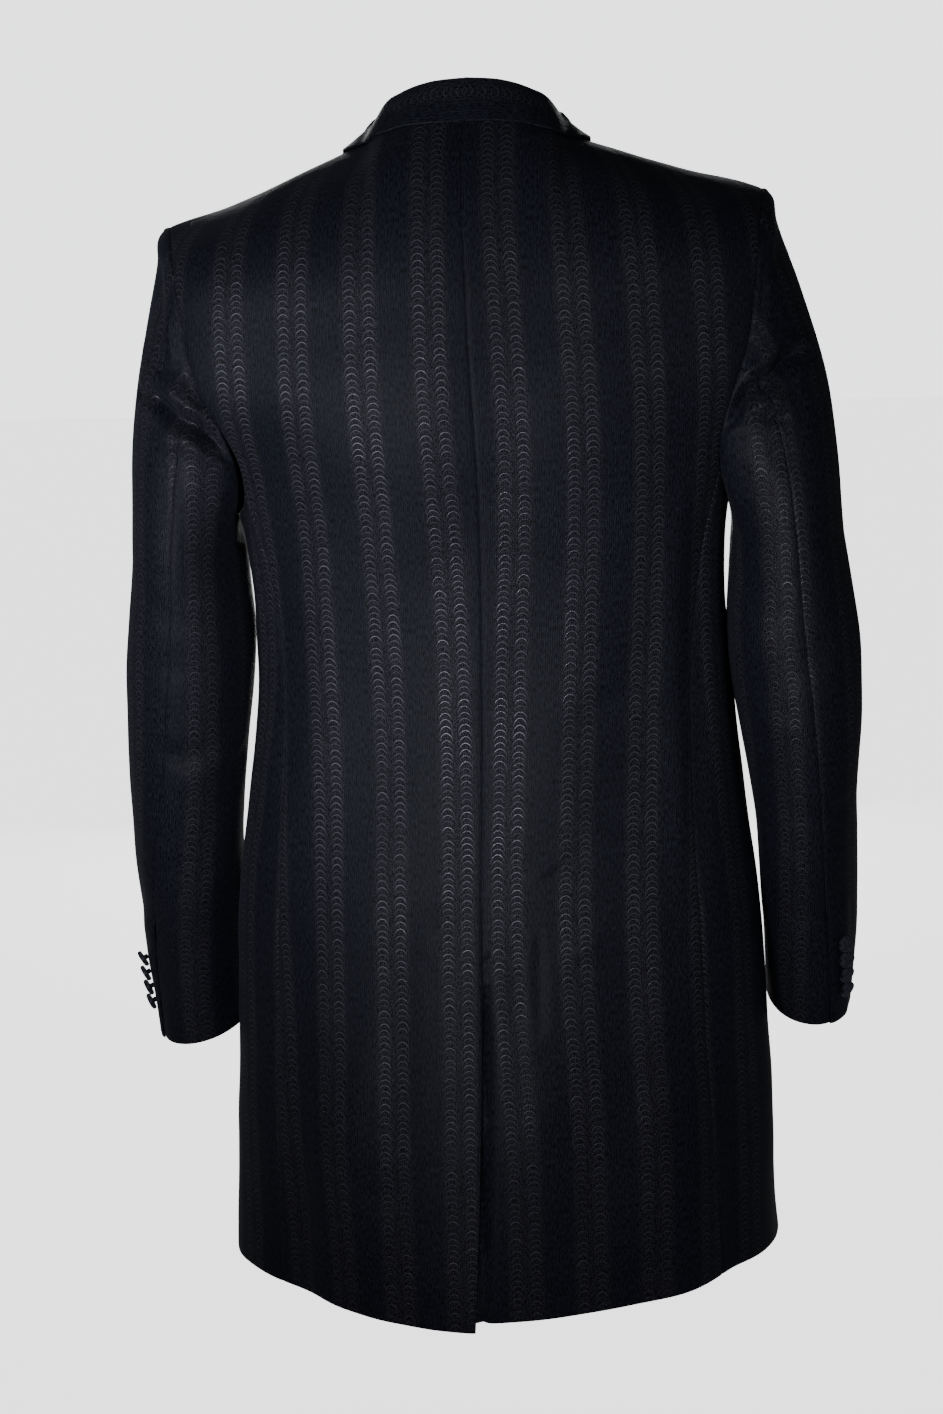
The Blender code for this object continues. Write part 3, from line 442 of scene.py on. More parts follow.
def sleevePoint(side, turn, share):
    turn, share = matched(turn, share)
    place = (turn / (2 * math.pi)) % 1 * len(loopPoints)
    low = np.floor(place).astype(int) % len(loopPoints)
    part = (place - np.floor(place))[..., None]
    start, leaving = (v[low] * (1 - part) + v[(low + 1) % len(v)] * part for v in (loopPoints, loopWays))
    underHere = (1 - np.cos(turn)) / 2
    end, down = tubeRow(np.full_like(turn, capZ), turn)
    handle = sleeves["capRound"] + sleeves["capRoundSides"] * np.sin(turn) ** 2
    drop = np.abs(start[..., 2] - capZ)
    first = start + leaving * (handle * (1 - 0.6 * underHere**4))[..., None]
    second = end - down * (0.10 * drop + 0.45 * drop * (1 - underHere))[..., None]
    t = np.clip(share / sleeves["capShare"], 0, 1)[..., None]
    cap = bent(t, start, first, second, end)
    past = np.clip((share - sleeves["capShare"]) / (1 - sleeves["capShare"]), 0, 1)
    lower, _ = tubeRow(capZ + (cuffZ - capZ) * past, turn)
    return np.where((share < sleeves["capShare"])[..., None], cap, lower) * np.array([side, 1.0, 1.0])


def sleeve(side, turn, share):
    turn, share = matched(turn, share)
    look = lambda name: sleeves[name][side]

    def surface(turn, share):
        twist = np.radians(look("turn")) * softStep(0.6, 1.0, share)
        points = sleevePoint(side, turn + twist, share)
        points[..., 2] += look("rise") * softStep(0.25, 1.0, share)
        points[..., 2] -= look("slant") * np.cos(turn) * softStep(0.75, 1.0, share)
        lower = softStep(0.40, 0.75, share)
        flat = look("upperFlat") * (softStep(0.0, 0.14, share) - lower) + look("lowerFlat") * lower
        points[..., 0] -= side * flat * np.maximum(np.cos(turn), 0)
        return points

    d = 1e-3
    roundWay = surface(turn + d, share) - surface(turn - d, share)
    downWay = surface(turn, np.minimum(share + d, 1)) - surface(turn, np.maximum(share - d, 0))
    return surface(turn, share), unit(np.cross(downWay, roundWay)) * side


sharePerMetre = (1 - sleeves["capShare"]) / (capZ - cuffZ) / sleeves["slope"]
ventShare = 1 - sleeves["vent"] * sharePerMetre


def overCuffVent(turn, share, back):
    beside = (back - turn) * sleeves["reach"]
    near = 1 - softStep(sleeves["underlap"] + 0.004, sleeves["underlap"] + 0.020, beside)
    return cut["layer"] * near * softStep(ventShare - 0.04, ventShare, share)


# Creases, one by one: start, middle and end, then width and depth in metres. On the
# trunk a point is degrees round from the centre back and a level, on a sleeve degrees
# round from its outer side and a share of its length.
trunkCreases = {
    left: tuples("""
        9 -0.6  9.5 -0.618  7.5 -0.642  0.012 0.0016
        57 -0.32  60 -0.4  52 -0.52  0.016 -0.003
        66 -0.33  72 -0.42  66 -0.56  0.013 -0.0032
        38 -0.3  43 -0.42  40 -0.56  0.02 0.0018
        22 -0.7  30 -0.77  33 -0.86  0.022 0.0036
        40 -0.64  45 -0.76  46 -0.9  0.016 -0.0036
        12 -0.8  20 -0.83  27 -0.828  0.014 -0.0022
        26 -0.18  30 -0.23  29 -0.3  0.03 0.0015
        176 -0.425  160 -0.44  145 -0.47  0.01 -0.0024
        177 -0.44  166 -0.48  152 -0.54  0.012 -0.002
        130 -0.3  122 -0.4  128 -0.52  0.018 -0.003
        105 -0.33  98 -0.42  104 -0.56  0.014 -0.0028
        112 -0.6  118 -0.72  114 -0.88  0.02 0.0024
    """),
    right: tuples("""
        22 -0.487  33 -0.496  42 -0.51  0.0055 0.0036
        9 -0.577  13 -0.567  17 -0.555  0.0058 0.0034
        22 -0.655  28 -0.662  33 -0.684  0.0058 0.0038
        10.3 -0.622  10.6 -0.66  10.8 -0.698  0.0048 -0.0044
        0.5 -0.64  0.5 -0.79  -2 -0.927  0.0078 -0.015
        64 -0.285  60 -0.4  51 -0.6  0.014 -0.0042
        50 -0.3  49 -0.44  43 -0.6  0.014 0.0026
        18 -0.47  25 -0.446  36 -0.44  0.014 -0.0028
        40 -0.452  48 -0.458  56 -0.452  0.012 -0.0026
        20 -0.515  27 -0.54  38 -0.545  0.013 -0.0024
        26 -0.53  33 -0.52  40 -0.525  0.012 0.0014
        14 -0.72  22 -0.79  24 -0.88  0.02 -0.0034
        36 -0.56  38 -0.7  34 -0.88  0.018 0.004
        52 -0.6  53 -0.74  50 -0.9  0.014 -0.0028
        28 -0.6  20 -0.64  14 -0.64  0.01 0.0012
        34 -0.19  42 -0.24  43 -0.31  0.022 -0.0018
        130 -0.31  124 -0.42  130 -0.54  0.018 -0.0028
        104 -0.33  98 -0.44  105 -0.57  0.014 -0.0026
        116 -0.61  120 -0.74  113 -0.89  0.02 0.0022
    """),
}
sleeveCreases = {
    left: tuples("""
        33 0.216  85 0.147  121 0.006  0.0082 -0.019
        106 0.094  117 0.07  126 0.024  0.0055 -0.009
        98 0.07  112 0.036  122 -0.01  0.0085 -0.01
        50 0.165  90 0.11  112 0.01  0.01 0.006
        70 0.215  94 0.15  114 0.06  0.009 0.003
        95 0.04  86 0.07  70 0.12  0.012 0.003
        10 0.095  30 0.08  60 0.06  0.015 -0.004
        20 0.18  42 0.19  55 0.2  0.01 0.003
        140 0.06  150 0.15  146 0.25  0.014 -0.003
        25 0.405  60 0.412  92 0.44  0.012 -0.0022
        60 0.5  85 0.48  120 0.5  0.014 -0.0016
        70 0.585  97 0.612  126 0.59  0.011 -0.0024
        96 0.64  120 0.61  168 0.59  0.013 0.0022
        128 0.7  140 0.64  170 0.6  0.012 -0.0024
        60 0.74  84 0.755  110 0.73  0.01 -0.002
        105 0.83  125 0.78  160 0.74  0.015 0.0018
        250 0.01  285 0.09  325 0.2  0.009 -0.005
        240 0.1  270 0.15  300 0.23  0.009 -0.0035
        215 0.48  250 0.5  300 0.47  0.011 -0.0035
        205 0.58  245 0.56  290 0.6  0.011 -0.003
        220 0.53  255 0.54  285 0.53  0.012 0.0025
        300 0.68  330 0.72  350 0.7  0.013 -0.0016
    """),
    right: tuples("""
        37 0.21  83 0.15  121 0.002  0.0085 -0.018
        124 0.014  110 0.11  88 0.186  0.006 -0.0095
        96 0.084  112 0.03  124 -0.01  0.009 -0.01
        114 0.035  100 0.125  80 0.185  0.008 0.004
        56 0.16  88 0.105  114 0.004  0.01 0.0055
        70 0.03  48 0.07  24 0.13  0.014 -0.0032
        96 0.02  84 0.06  66 0.1  0.013 0.0026
        120 0.13  108 0.22  86 0.3  0.014 0.0022
        156 0.39  126 0.43  92 0.43  0.013 -0.0028
        150 0.47  128 0.49  100 0.47  0.016 0.0022
        60 0.48  78 0.51  104 0.54  0.013 -0.0018
        140 0.56  120 0.6  96 0.59  0.014 0.0018
        40 0.7  70 0.716  112 0.7  0.011 -0.0022
        126 0.76  112 0.775  90 0.8  0.013 0.002
        132 0.83  108 0.85  84 0.84  0.011 -0.0016
        250 0.01  282 0.1  322 0.215  0.009 -0.0048
        238 0.11  268 0.165  296 0.24  0.009 -0.0032
        212 0.47  248 0.49  296 0.48  0.011 -0.0034
        208 0.57  242 0.59  286 0.57  0.011 -0.0028
        300 0.64  325 0.67  348 0.66  0.013 -0.0016
    """),
}


def ripple(points, seed, size, depth):
    # Uneven rise and fall of the cloth, the same on every run and across every seam
    rng = np.random.default_rng(seed)
    total = np.zeros(points.shape[:-1])
    for _ in range(11):
        way, phase = unit(rng.normal(size=3) * (1, 1, 0.6)), rng.uniform(0, 2 * math.pi)
        wave = 2 * math.pi / (size * rng.uniform(0.7, 1.6))
        total += np.sin(wave * (points @ way) + phase)
    return total * depth / 3


def rippled(points):
    return ripple(points, 5, 0.12, 0.0016) + ripple(points, 9, 0.045, 0.0002)


def creased(points, surface, side, creases):
    # Each crease is a bent line on the surface, and the cloth sinks or rises beside it
    off = np.zeros(points.shape[:-1])
    t = np.linspace(0, 1, 41)[:, None]
    for start, middle, end, (width, depth) in creases.reshape(-1, 4, 2):
        turn, row = bent(t, start, middle, end).T
        line = surface(side, np.radians(turn), row)[0]
        best, place = np.full(off.shape, 9.0), np.zeros(off.shape)
        for i, spot in enumerate(line):
            away = np.sum((points - spot) ** 2, axis=-1)
            place = np.where(away < best, t[i, 0], place)
            best = np.minimum(best, away)
        taper = np.sin(math.pi * np.clip(0.05 + 0.90 * place, 0, 1)) ** (0.4 if width < 0.008 else 0.7)
        near = best / (width * (0.55 + 0.45 * taper)) ** 2
        # A narrow crease is a sharp fold, a wide one a soft wave
        shape = np.exp(-1.6 * np.sqrt(near + 0.01)) if width < 0.008 else np.exp(-near)
        off += depth * taper * (shape - 0.35 * np.exp(-near / 5))
    return off


def closeSteps(length, size=step):
    # Places along a line of this length: even steps, closer near both ends
    near = edgeSteps * min(1, length / 0.03)
    count = max(2, int(round((length - 2 * near[-1]) / size)))
    middle = np.linspace(near[-1], length - near[-1], count + 1)[1:-1]
    return np.concatenate([near, middle, length - near[::-1]])


def moveBorders(grid, model, amounts):
    # Moves the first and last row, then column, into the sheet, or out where the amount is negative
    for axis in (0, 1):
        lines, near = np.swapaxes(grid, 0, axis), np.swapaxes(model, 0, axis)
        for edge, inside, amount in zip((0, -1), (1, -2), amounts[2 * axis :]):
            lines[edge] += unit(near[inside] - near[edge]) * amount


def seamDip(away, sewn):
    # A sewn edge turns in a little; a free edge only rounds off
    return -(0.0007 if sewn else 0.0003) * np.exp(-((away / 0.0013) ** 2))


def bordered(points, sewn):
    # Dips along the four borders: first row, last row, first column, last column
    down, across = lengths(points, 0), lengths(points, 1)
    aways = (down, down[-1:] - down, across, across[:, -1:] - across)
    return sum(seamDip(away, s) for away, s in zip(aways, sewn))


def makePiece(name, vertices, faces, uv, materials):
    mesh = bpy.data.meshes.new(name)
    mesh.from_pydata(vertices.tolist(), [], faces)
    for material in materials:
        mesh.materials.append(material)
    corners = np.empty(len(mesh.loops), int)
    mesh.loops.foreach_get("vertex_index", corners)
    layer = mesh.uv_layers.new(name="cloth")
    layer.data.foreach_set("uv", uv[corners].astype(np.float32).ravel())
    mesh.shade_smooth()
    made = bpy.data.objects.new(name, mesh)
    bpy.context.scene.collection.objects.link(made)
    return made


def wall(name, outer, inner, uv, sewn, materials):
    # A closed wall between two grids of points, with a rounded rim at its free edges
    rows, columns = outer.shape[:2]
    count = rows * columns
    index = np.arange(count).reshape(rows, columns)
    ring = np.concatenate([index[0, :-1], index[:-1, -1], index[-1, :0:-1], index[:0:-1, 0]])
    # At a seam the rim reaches the neighbour's, so no light shows through
    middle = (outer + inner) / 2
    moveBorders(middle, outer, [-cut["seamGap"] / 2 if s else -0.0006 for s in sewn])
    points = [grid.reshape(-1, 3) for grid in (outer, inner, middle)]
    vertices = np.concatenate([*points[:2], points[2][ring]])
    inside = index + count
    rim = np.arange(len(ring)) + 2 * count
    quads = lambda *corners: np.stack(corners, -1).reshape(-1, 4)
    faces = np.concatenate([
        quads(index[:-1, :-1], index[:-1, 1:], index[1:, 1:], index[1:, :-1]),
        quads(inside[:-1, :-1], inside[1:, :-1], inside[1:, 1:], inside[:-1, 1:]),
        quads(np.roll(ring, -1), ring, rim, np.roll(rim, -1)),
        quads(np.roll(rim, -1), rim, ring + count, np.roll(ring, -1) + count),
    ])
    a, b, c, d = (vertices[faces[:, i]] for i in range(4))
    if np.sum(a * (np.cross(b, c) + np.cross(c, d))) < 0:
        faces = faces[:, ::-1]
    flat = uv.reshape(-1, 2)
    made = makePiece(name, vertices, faces.tolist(), np.concatenate([flat, flat, flat[ring]]), materials)
    slots = np.zeros(len(faces), int)
    each = (rows - 1) * (columns - 1)
    slots[each : 2 * each] = len(materials) - 1
    made.data.polygons.foreach_set("material_index", slots)
    made.data.set_sharp_from_angle(angle=math.radians(50))
    return made


def place(piece, slot, node, flat=None, area=None, held="hung"):
    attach(piece, "root")
    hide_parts(node)


# The jacquard: stripes of two columns of nested arcs on a finely ribbed ground, metres
jacquard = {
    "period": 0.0520,
    "columnOffset": 0.0073,
    "arcHalfWidth": 0.0051,
    "pitch": 0.0048,
    "drop": 0.0075,
    "wander": 0.0016,
    "crowding": 0.006,
    "bandEdge": (0.0125, 0.0165),
    "rib": 0.0017,
    "relief": 0.00016,
    "ground": (0.0078, 0.0086, 0.0134, 1),
    "band": (0.0082, 0.0080, 0.0122, 1),
    "arc": (0.112, 0.111, 0.132, 1),
    "lustre": 0.80,
    "roughness": 0.50,
    "arcRoughness": 0.36,
    "specular": 0.06,
    "sheen": 0.03,
    "sheenTint": (0.62, 0.70, 0.90, 1),
    # Where the arcs fade to painted shade towards the hem and the yoke, and how far
    "hemDull": (0.08, 0.42),
    "yokeDull": (0.78, 0.88),
    "dullest": 0.55,
}


class Nodes:
    def __init__(self, name):
        self.material = bpy.data.materials.new(name)
        self.material.use_nodes = True
        self.tree = self.material.node_tree
        self.shader = self.tree.nodes["Principled BSDF"]

    def put(self, socket, value):
        if isinstance(value, bpy.types.NodeSocket):
            self.tree.links.new(value, socket)
        else:
            socket.default_value = value

    def shade(self, **values):
        # Sets the shader's sockets, named without their spaces
        for socket in self.shader.inputs:
            if socket.name.replace(" ", "") in values:
                self.put(socket, values[socket.name.replace(" ", "")])

    def add(self, kind, settings=(), **sockets):
        node = self.tree.nodes.new(kind)
        for key, value in dict(settings).items():
            setattr(node, key, value)
        for key, value in sockets.items():
            self.put(node.inputs[key.replace("_", " ")], value)
        return node

    def sum(self, operation, *values):
        node = self.add("ShaderNodeMath", {"operation": operation})
        for socket, value in zip(node.inputs, values):
            self.put(socket, value)
        return node.outputs[0]

    plus = partialmethod(sum, "ADD")
    minus = partialmethod(sum, "SUBTRACT")
    times = partialmethod(sum, "MULTIPLY")
    over = partialmethod(sum, "DIVIDE")
    line = partialmethod(sum, "MULTIPLY_ADD")  # value, slope, offset
    size = partialmethod(sum, "ABSOLUTE")
    whole = partialmethod(sum, "FLOOR")
    part = partialmethod(sum, "FRACT")

    def step(self, value, low, high):
        settings = {"interpolation_type": "SMOOTHSTEP"}
        return self.add("ShaderNodeMapRange", settings, Value=value, From_Min=low, From_Max=high).outputs[0]

    def mix(self, factor, first, second, way="MIX"):
        node = self.add("ShaderNodeMix", {"data_type": "RGBA", "blend_type": way})
        for socket, value in zip((0, 6, 7), (factor, first, second)):
            self.put(node.inputs[socket], value)
        return node.outputs[2]

    def join(self, x, y, z=0.0):
        return self.add("ShaderNodeCombineXYZ", X=x, Y=y, Z=z).outputs[0]

    def noise(self, vector, scale, detail):
        return self.add("ShaderNodeTexNoise", Vector=vector, Scale=scale, Detail=detail).outputs["Fac"]

    def bump(self, height, distance, strength):
        node = self.add("ShaderNodeBump", Height=height, Distance=distance, Strength=strength)
        self.shade(Normal=node.outputs[0])


def makeJacquard(name, look, arcs=True):
    n = Nodes(name)
    uv = n.add("ShaderNodeUVMap", {"uv_map": "cloth"}).outputs[0]
    u, v = n.add("ShaderNodeSeparateXYZ", Vector=uv).outputs[:2]
    wide, grain = n.noise(uv, 9.0, 3.0), n.noise(uv, 1500.0, 1.0)
    # Fine upright ribs, each broken into short slanting dashes
    zigzag = n.sum("PINGPONG", n.over(v, look["rib"] * 1.6), 0.5)
    rib = n.times(n.plus(n.over(u, look["rib"]), zigzag), 2 * math.pi)
    rib = n.line(n.sum("SINE", rib), 0.5, 0.5)
    cell = n.over(u, look["period"])
    stripe = n.whole(cell)
    along = n.times(n.minus(n.part(cell), 0.5), look["period"])
    columnSide = n.sum("SIGN", along)
    # Each column wanders a little and its arcs crowd and open
    slow = n.minus(n.noise(n.join(stripe, v, columnSide), 26.0, 1.0), 0.5)
    away = n.minus(n.size(along), look["columnOffset"])
    local = n.over(n.line(slow, look["wander"], away), look["arcHalfWidth"])
    beside = n.size(local)
    # A column's arcs are rows of half circles, so a point lies on an arc lowered by this much
    square = n.sum("MINIMUM", n.times(n.times(local, local), 0.93), 0.99)
    rise = n.sum("SQRT", n.minus(1.0, square))
    shifted = n.line(slow, look["crowding"], n.line(columnSide, look["pitch"] / 4, v))
    phase = n.over(n.line(n.minus(1.0, rise), look["drop"], shifted), look["pitch"])
    number = n.whole(phase)
    apart = n.size(n.minus(n.part(phase), 0.5))
    # By chance an arc is longer and brighter, and so are whole runs of arcs
    place = n.join(number, stripe, columnSide)
    chance = n.add("ShaderNodeTexWhiteNoise", {"noise_dimensions": "3D"}, Vector=place).outputs["Value"]
    bright = n.line(n.sum("SINE", n.times(number, 2.5)), 0.18, n.line(chance, 0.42, 0.42))
    bright = n.times(bright, n.line(n.noise(uv, 17.0, 1.0), 1.6, 0.2))
    thin = n.minus(1.0, n.step(beside, 0.45, 1.05))
    stroke = n.minus(1.0, n.step(n.times(apart, rise), 0.02, 0.10))
    inside = n.sum("LESS_THAN", beside, n.line(chance, 0.25, 0.80))
    arc = n.times(n.times(stroke, inside), n.line(thin, 0.75, 0.25))
    # Painted shade: the arcs fade, darker and less shiny, towards the hem and the yoke, where less light
    # falls on them
    hem = n.line(n.step(v, *look["hemDull"]), 1 - look["dullest"], look["dullest"])
    yoke = n.line(n.step(v, *look["yokeDull"]), -0.25, 1.0)
    arc = n.times(n.times(arc, bright), n.times(hem, yoke))
    band = n.minus(1.0, n.step(n.size(along), *look["bandEdge"]))
    speck = n.sum("GREATER_THAN", n.noise(uv, 900.0, 0.0), 0.58)
    arc = n.sum("MAXIMUM", arc, n.times(n.times(speck, band), 0.13))
    if not arcs:
        arc = band = n.times(band, 0.0)
    coarse = n.noise(n.join(n.times(u, 2.4), n.times(v, 0.8)), 300.0, 2.0)
    tone = n.line(coarse, 3.4, n.line(rib, 0.75, n.line(grain, 0.8, -1.50)))
    level = n.times(n.sum("MAXIMUM", tone, 0.10), n.line(wide, 0.5, 0.75))
    grey = n.add("ShaderNodeCombineColor", Red=level, Green=level, Blue=level).outputs[0]
    ground = n.mix(1.0, n.mix(band, look["ground"], look["band"]), grey, "MULTIPLY")
    rough = n.line(arc, look["arcRoughness"] - look["roughness"], look["roughness"])
    # The arcs are of a silky yarn, which shines only where it faces the light
    silk = n.times(n.sum("MINIMUM", n.times(arc, 1.5), 1.0), look["lustre"])
    n.shade(
        BaseColor=n.mix(arc, ground, look["arc"]),
        Roughness=n.line(wide, 0.10, n.minus(rough, 0.05)),
        Metallic=silk,
        SpecularIORLevel=look["specular"],
        SheenWeight=look["sheen"],
        SheenRoughness=0.45,
        SheenTint=look["sheenTint"],
    )
    n.bump(n.line(arc, 1.1, n.line(rib, 0.45, n.times(coarse, 0.8))), look["relief"], 0.9)
    return n.material


covered = (0.0200, 0.0215, 0.0290, 1)
cloth = makeJacquard("jacquard", jacquard)
reverse = makeJacquard("jacquard reverse", jacquard, arcs=False)
collarCloth = makeJacquard("collar jacquard", dict(jacquard, ground=(0.0090, 0.0100, 0.0152, 1)))
buttonLook = dict(jacquard, ground=covered, band=covered, rib=0.0012, sheen=0.12)
buttonCloth = makeJacquard("covered button", buttonLook, arcs=False)
print("materials made")


# Lengths on the cloth, which become the pattern's coordinates
def clothAcross(theta, level, zero):
    fine = np.linspace(min(theta.min(), zero) - 0.01, max(theta.max(), zero) + 0.01, 260)
    rows = level[:, 0]
    along = lengths(plainTrunk(fine[None, :], rows[:, None]), 1)
    start = np.array([np.interp(zero, fine, row) for row in along])
    return np.array([np.interp(t, fine, row) for t, row in zip(theta, along)]) - start[:, None]


def clothUp(theta, level):
    yoke = cut["yoke"]
    fineLevel = np.concatenate([np.linspace(cut["hem"], yoke, 60), np.linspace(yoke, 0, 60)[1:]])
    fineTheta = np.linspace(theta.min(), theta.max(), 50)
    up = lengths(plainTrunk(fineTheta[None, :], fineLevel[:, None]), 0)
    byLevel = np.array([np.interp(level.ravel(), fineLevel, column) for column in up.T])
    place = (theta.ravel() - fineTheta[0]) / (fineTheta[1] - fineTheta[0])
    low = np.clip(place.astype(int), 0, len(fineTheta) - 2)
    part = place - low
    item = np.arange(level.size)
    value = byLevel[low, item] * (1 - part) + byLevel[low + 1, item] * part
    return value.reshape(level.shape)


def chartGrid(start, end, level):
    # Rows at these levels from angle start to end, with columns even on the cloth
    fine = np.linspace(0, 1, 160)
    theta = start[:, None] + (end - start)[:, None] * fine
    along = lengths(plainTrunk(theta, np.broadcast_to(level[:, None], theta.shape)), 1)
    total = along[:, -1]
    share = closeSteps(total.max()) / total.max()
    close = len(edgeSteps)
    made = []
    for row, whole, angles in zip(along, total, theta):
        wanted = share * whole
        wanted[:close] = np.minimum(edgeSteps, whole * share[:close] * 2)
        wanted[-close:] = whole - wanted[:close][::-1]
        made.append(np.interp(wanted, row, angles))
    return np.array(made), np.repeat(level[:, None], len(share), axis=1)


def panel(name, side, theta, level, zero, shift, sewn):
    # The stripes start at angle zero, moved round by shift
    outer, normal = coat(side, theta, level)
    if level[-1].max() == 0:
        x = np.abs(outer[-1, :, 0])
        isBack = theta[-1] < math.pi / 2
        twin = np.where(isBack, angleAt(x, 0.0, True), angleAt(x, 0.0, False))
        _, twinNormal = coat(side, twin, level[-1])
        beyond = (x > cut["neckHalfWidth"] - 1e-6) & (level[-1] == 0)
        normal[-1] = np.where(beyond[:, None], unit(normal[-1] + twinNormal), normal[-1])
    # The rims reach a little further than this, so that no light shows through
    moveBorders(outer, outer, [cut["seamGap"] * 0.3 * s for s in sewn])
    off = creased(outer, coat, side, trunkCreases[side]) + rippled(outer) + bordered(outer, sewn)
    inner = outer + normal * (off - cut["wall"])[..., None]
    outer = outer + normal * off[..., None]
    uv = np.stack([clothAcross(theta, level, zero) + shift, clothUp(theta, level)], axis=-1)
    name = f"cloth_{name}_{sideName[side]}"
    return wall(name, pose(outer), pose(inner), uv, sewn, [cloth, reverse])


# How far the stripes lie off a straight centre back, by level, as the seam is shaped
stripeShift = {
    left: table("""
        at by
        -0.927 0.007
        -0.6 0.0078
        -0.45 0.005
        -0.21 -0.003
        -0.08 0
    """),
    right: table("""
        at by
        -0.927 -0.0035
        -0.8 -0.0025
        -0.62 0.006
        -0.45 0.005
        -0.21 -0.003
        -0.08 0
    """),
}


seamRows = cut["hem"] + closeSteps(cut["sideSeamTop"] - cut["hem"])
upperRows = cut["sideSeamTop"] * (1 - np.linspace(0, 1, 86)[1:]) ** 1.25


def frontEdge(level):
    x = np.where(level < cut["lapelBreak"], -cut["overlap"], read(frontEdges, "x", level))
    rise = np.clip((level - cut["hem"]) / cut["corner"], 0, 1)
    return x + cut["corner"] * (1 - np.sqrt(1 - (1 - rise) ** 2))


def makeBack(side):
    level = np.concatenate([seamRows, upperRows])
    if side == left:
        drift = np.clip((cut["ventTop"] - level) / (cut["ventTop"] - cut["hem"]), 0, 1) ** 2
        start = angleAt(cut["ventDrift"] * drift, level)
    else:
        reach = cut["ventUnderlap"] * (1 - softStep(cut["ventTop"] - 0.030, cut["ventTop"], level))
        start = angleAt(-reach, level)
    inner, _ = chartGrid(start, angleAt(cut["neckHalfWidth"], level), level)
    outer, _ = chartGrid(angleAt(cut["neckHalfWidth"], level), sideSeam(level, False), level)
    theta = np.concatenate([inner[:, :-4], inner[:, -1:], outer[:, 4:]], axis=1)
    level = np.repeat(level[:, None], theta.shape[1], axis=1)
    return panel("back", side, theta, level, 0.0, read(stripeShift[side], "by", level), (0, 1, 1, 1))


def makeFront(side):
    corner = cut["hem"] + cut["corner"] * (1 - np.cos(np.linspace(0, math.pi / 2, 22)))
    level = np.concatenate([corner, seamRows[seamRows > corner[-1] + 0.003], upperRows])
    theta, level = chartGrid(sideSeam(level, True), angleAt(frontEdge(level), level, True), level)
    return panel("front", side, theta, level, math.pi, 0.0, (0, 1, 1, 0))


# The stripes are charted from a line this far (in radians) in front of the back seam
sideBody = {"width": 0.115, "zeroLevel": -0.55, "zeroTurn": 0.18, "shift": 0.012}


def makeSide(side):
    rows = seamRows[:, None]
    share = closeSteps(sideBody["width"]) / sideBody["width"]
    topTheta, topLevel = armholeCurve(cut["sideSeamTop"], share)
    up = (rows - cut["hem"]) / (cut["sideSeamTop"] - cut["hem"])
    level = rows + (topLevel - cut["sideSeamTop"]) * up**6
    start = sideSeam(np.minimum(level, cut["sideSeamTop"]), False)
    end = sideSeam(np.minimum(level, cut["sideSeamTop"]), True)
    theta = start + (end - start) * share
    theta = theta + (topTheta - theta[-1]) * up**6
    zero = float(sideSeam(np.array(sideBody["zeroLevel"]), False)) + sideBody["zeroTurn"]
    return panel("side", side, theta, level, zero, sideBody["shift"], (0, 1, 1, 1))


# Where the stripes of the upper and the under sleeve lie beside the back of the arm
sleeveStripes = {
    left: {"upper": -0.0411, "under": -0.0030},
    right: {"upper": -0.0325, "under": 0.0060},
}


def sleeveCloth(side, turn, share, down, shift):
    # Below the cap the pattern follows lengths on the cloth; above it the stripes go straight on
    fine = np.linspace(-math.pi, 2 * math.pi, 500)
    rows = share[:, 0]
    cap = int(np.searchsorted(rows, sleeves["capShare"]))
    across, up = np.zeros(turn.shape), down[cap] - down
    level = capZ + (cuffZ - capZ) * (rows[cap] - sleeves["capShare"]) / (1 - sleeves["capShare"])
    centre, (_, way) = tubeMiddle(level), tubeRow(level, np.array(0.0))
    out = unit(np.array([1.0, 0, 0]) - way * way[0])
    wide, deep = read(sections, "halfWidth", level), read(sections, "halfDepth", level)
    for i, angle in enumerate(turn):
        if i == 0 or i > cap:
            along = lengths(sleeve(side, fine, rows[max(i, cap)])[0], 0)
        if i < cap:
            away = sleevePoint(side, angle, rows[i]) * (side, 1, 1) - centre
            toBack, toSide = away @ np.cross(out, way) / deep, away @ out / wide
            # The sleeve's head leans in to the shoulder, and its stripes still go straight up
            onTube = np.maximum(toSide, np.sqrt(np.clip(1 - toBack**2, 0, 1)))
            toSide = toSide + (onTube - toSide) * softStep(-0.1, 0.3, np.cos(angle))
            angle = angle + (np.arctan2(toBack, toSide) - angle + math.pi) % (2 * math.pi) - math.pi
            up[i] = -away @ way
        across[i] = np.interp(angle, fine, along) - np.interp(sleeves["grainTurn"], fine, along)
    return np.stack([across + shift, up], axis=-1)


def sleevePanel(which, side, turn, share, back):
    sewn = (1, 0, 1, 1)
    outer, normal = sleeve(side, turn, share)
    moveBorders(outer, outer, (0, 0, cut["seamGap"] / 2, cut["seamGap"] / 2))
    outer[0] += unit(outer[0] - outer[2]) * cut["armholeGap"]
    down = lengths(outer, 0)
    off = bordered(outer, sewn) + rippled(outer)
    if which == "upper":
        off += overCuffVent(turn, share, back)
    off += creased(outer, sleeve, side, sleeveCreases[side]) * softStep(0.0, 0.009, down)
    # A soft roll where the sleeve's head is eased into the armhole
    top = softStep(-0.2, 0.6, np.cos(turn))
    off += 0.0026 * top * np.exp(-(((down - 0.013) / 0.009) ** 2))
    inner = outer + normal * (off - cut["wall"])[..., None]
    outer = outer + normal * off[..., None]
    uv = sleeveCloth(side, turn, share, down, sleeveStripes[side][which])
    name = f"cloth_sleeve_{which}_{sideName[side]}"
    return wall(name, pose(outer), pose(inner), uv, sewn, [cloth, reverse])


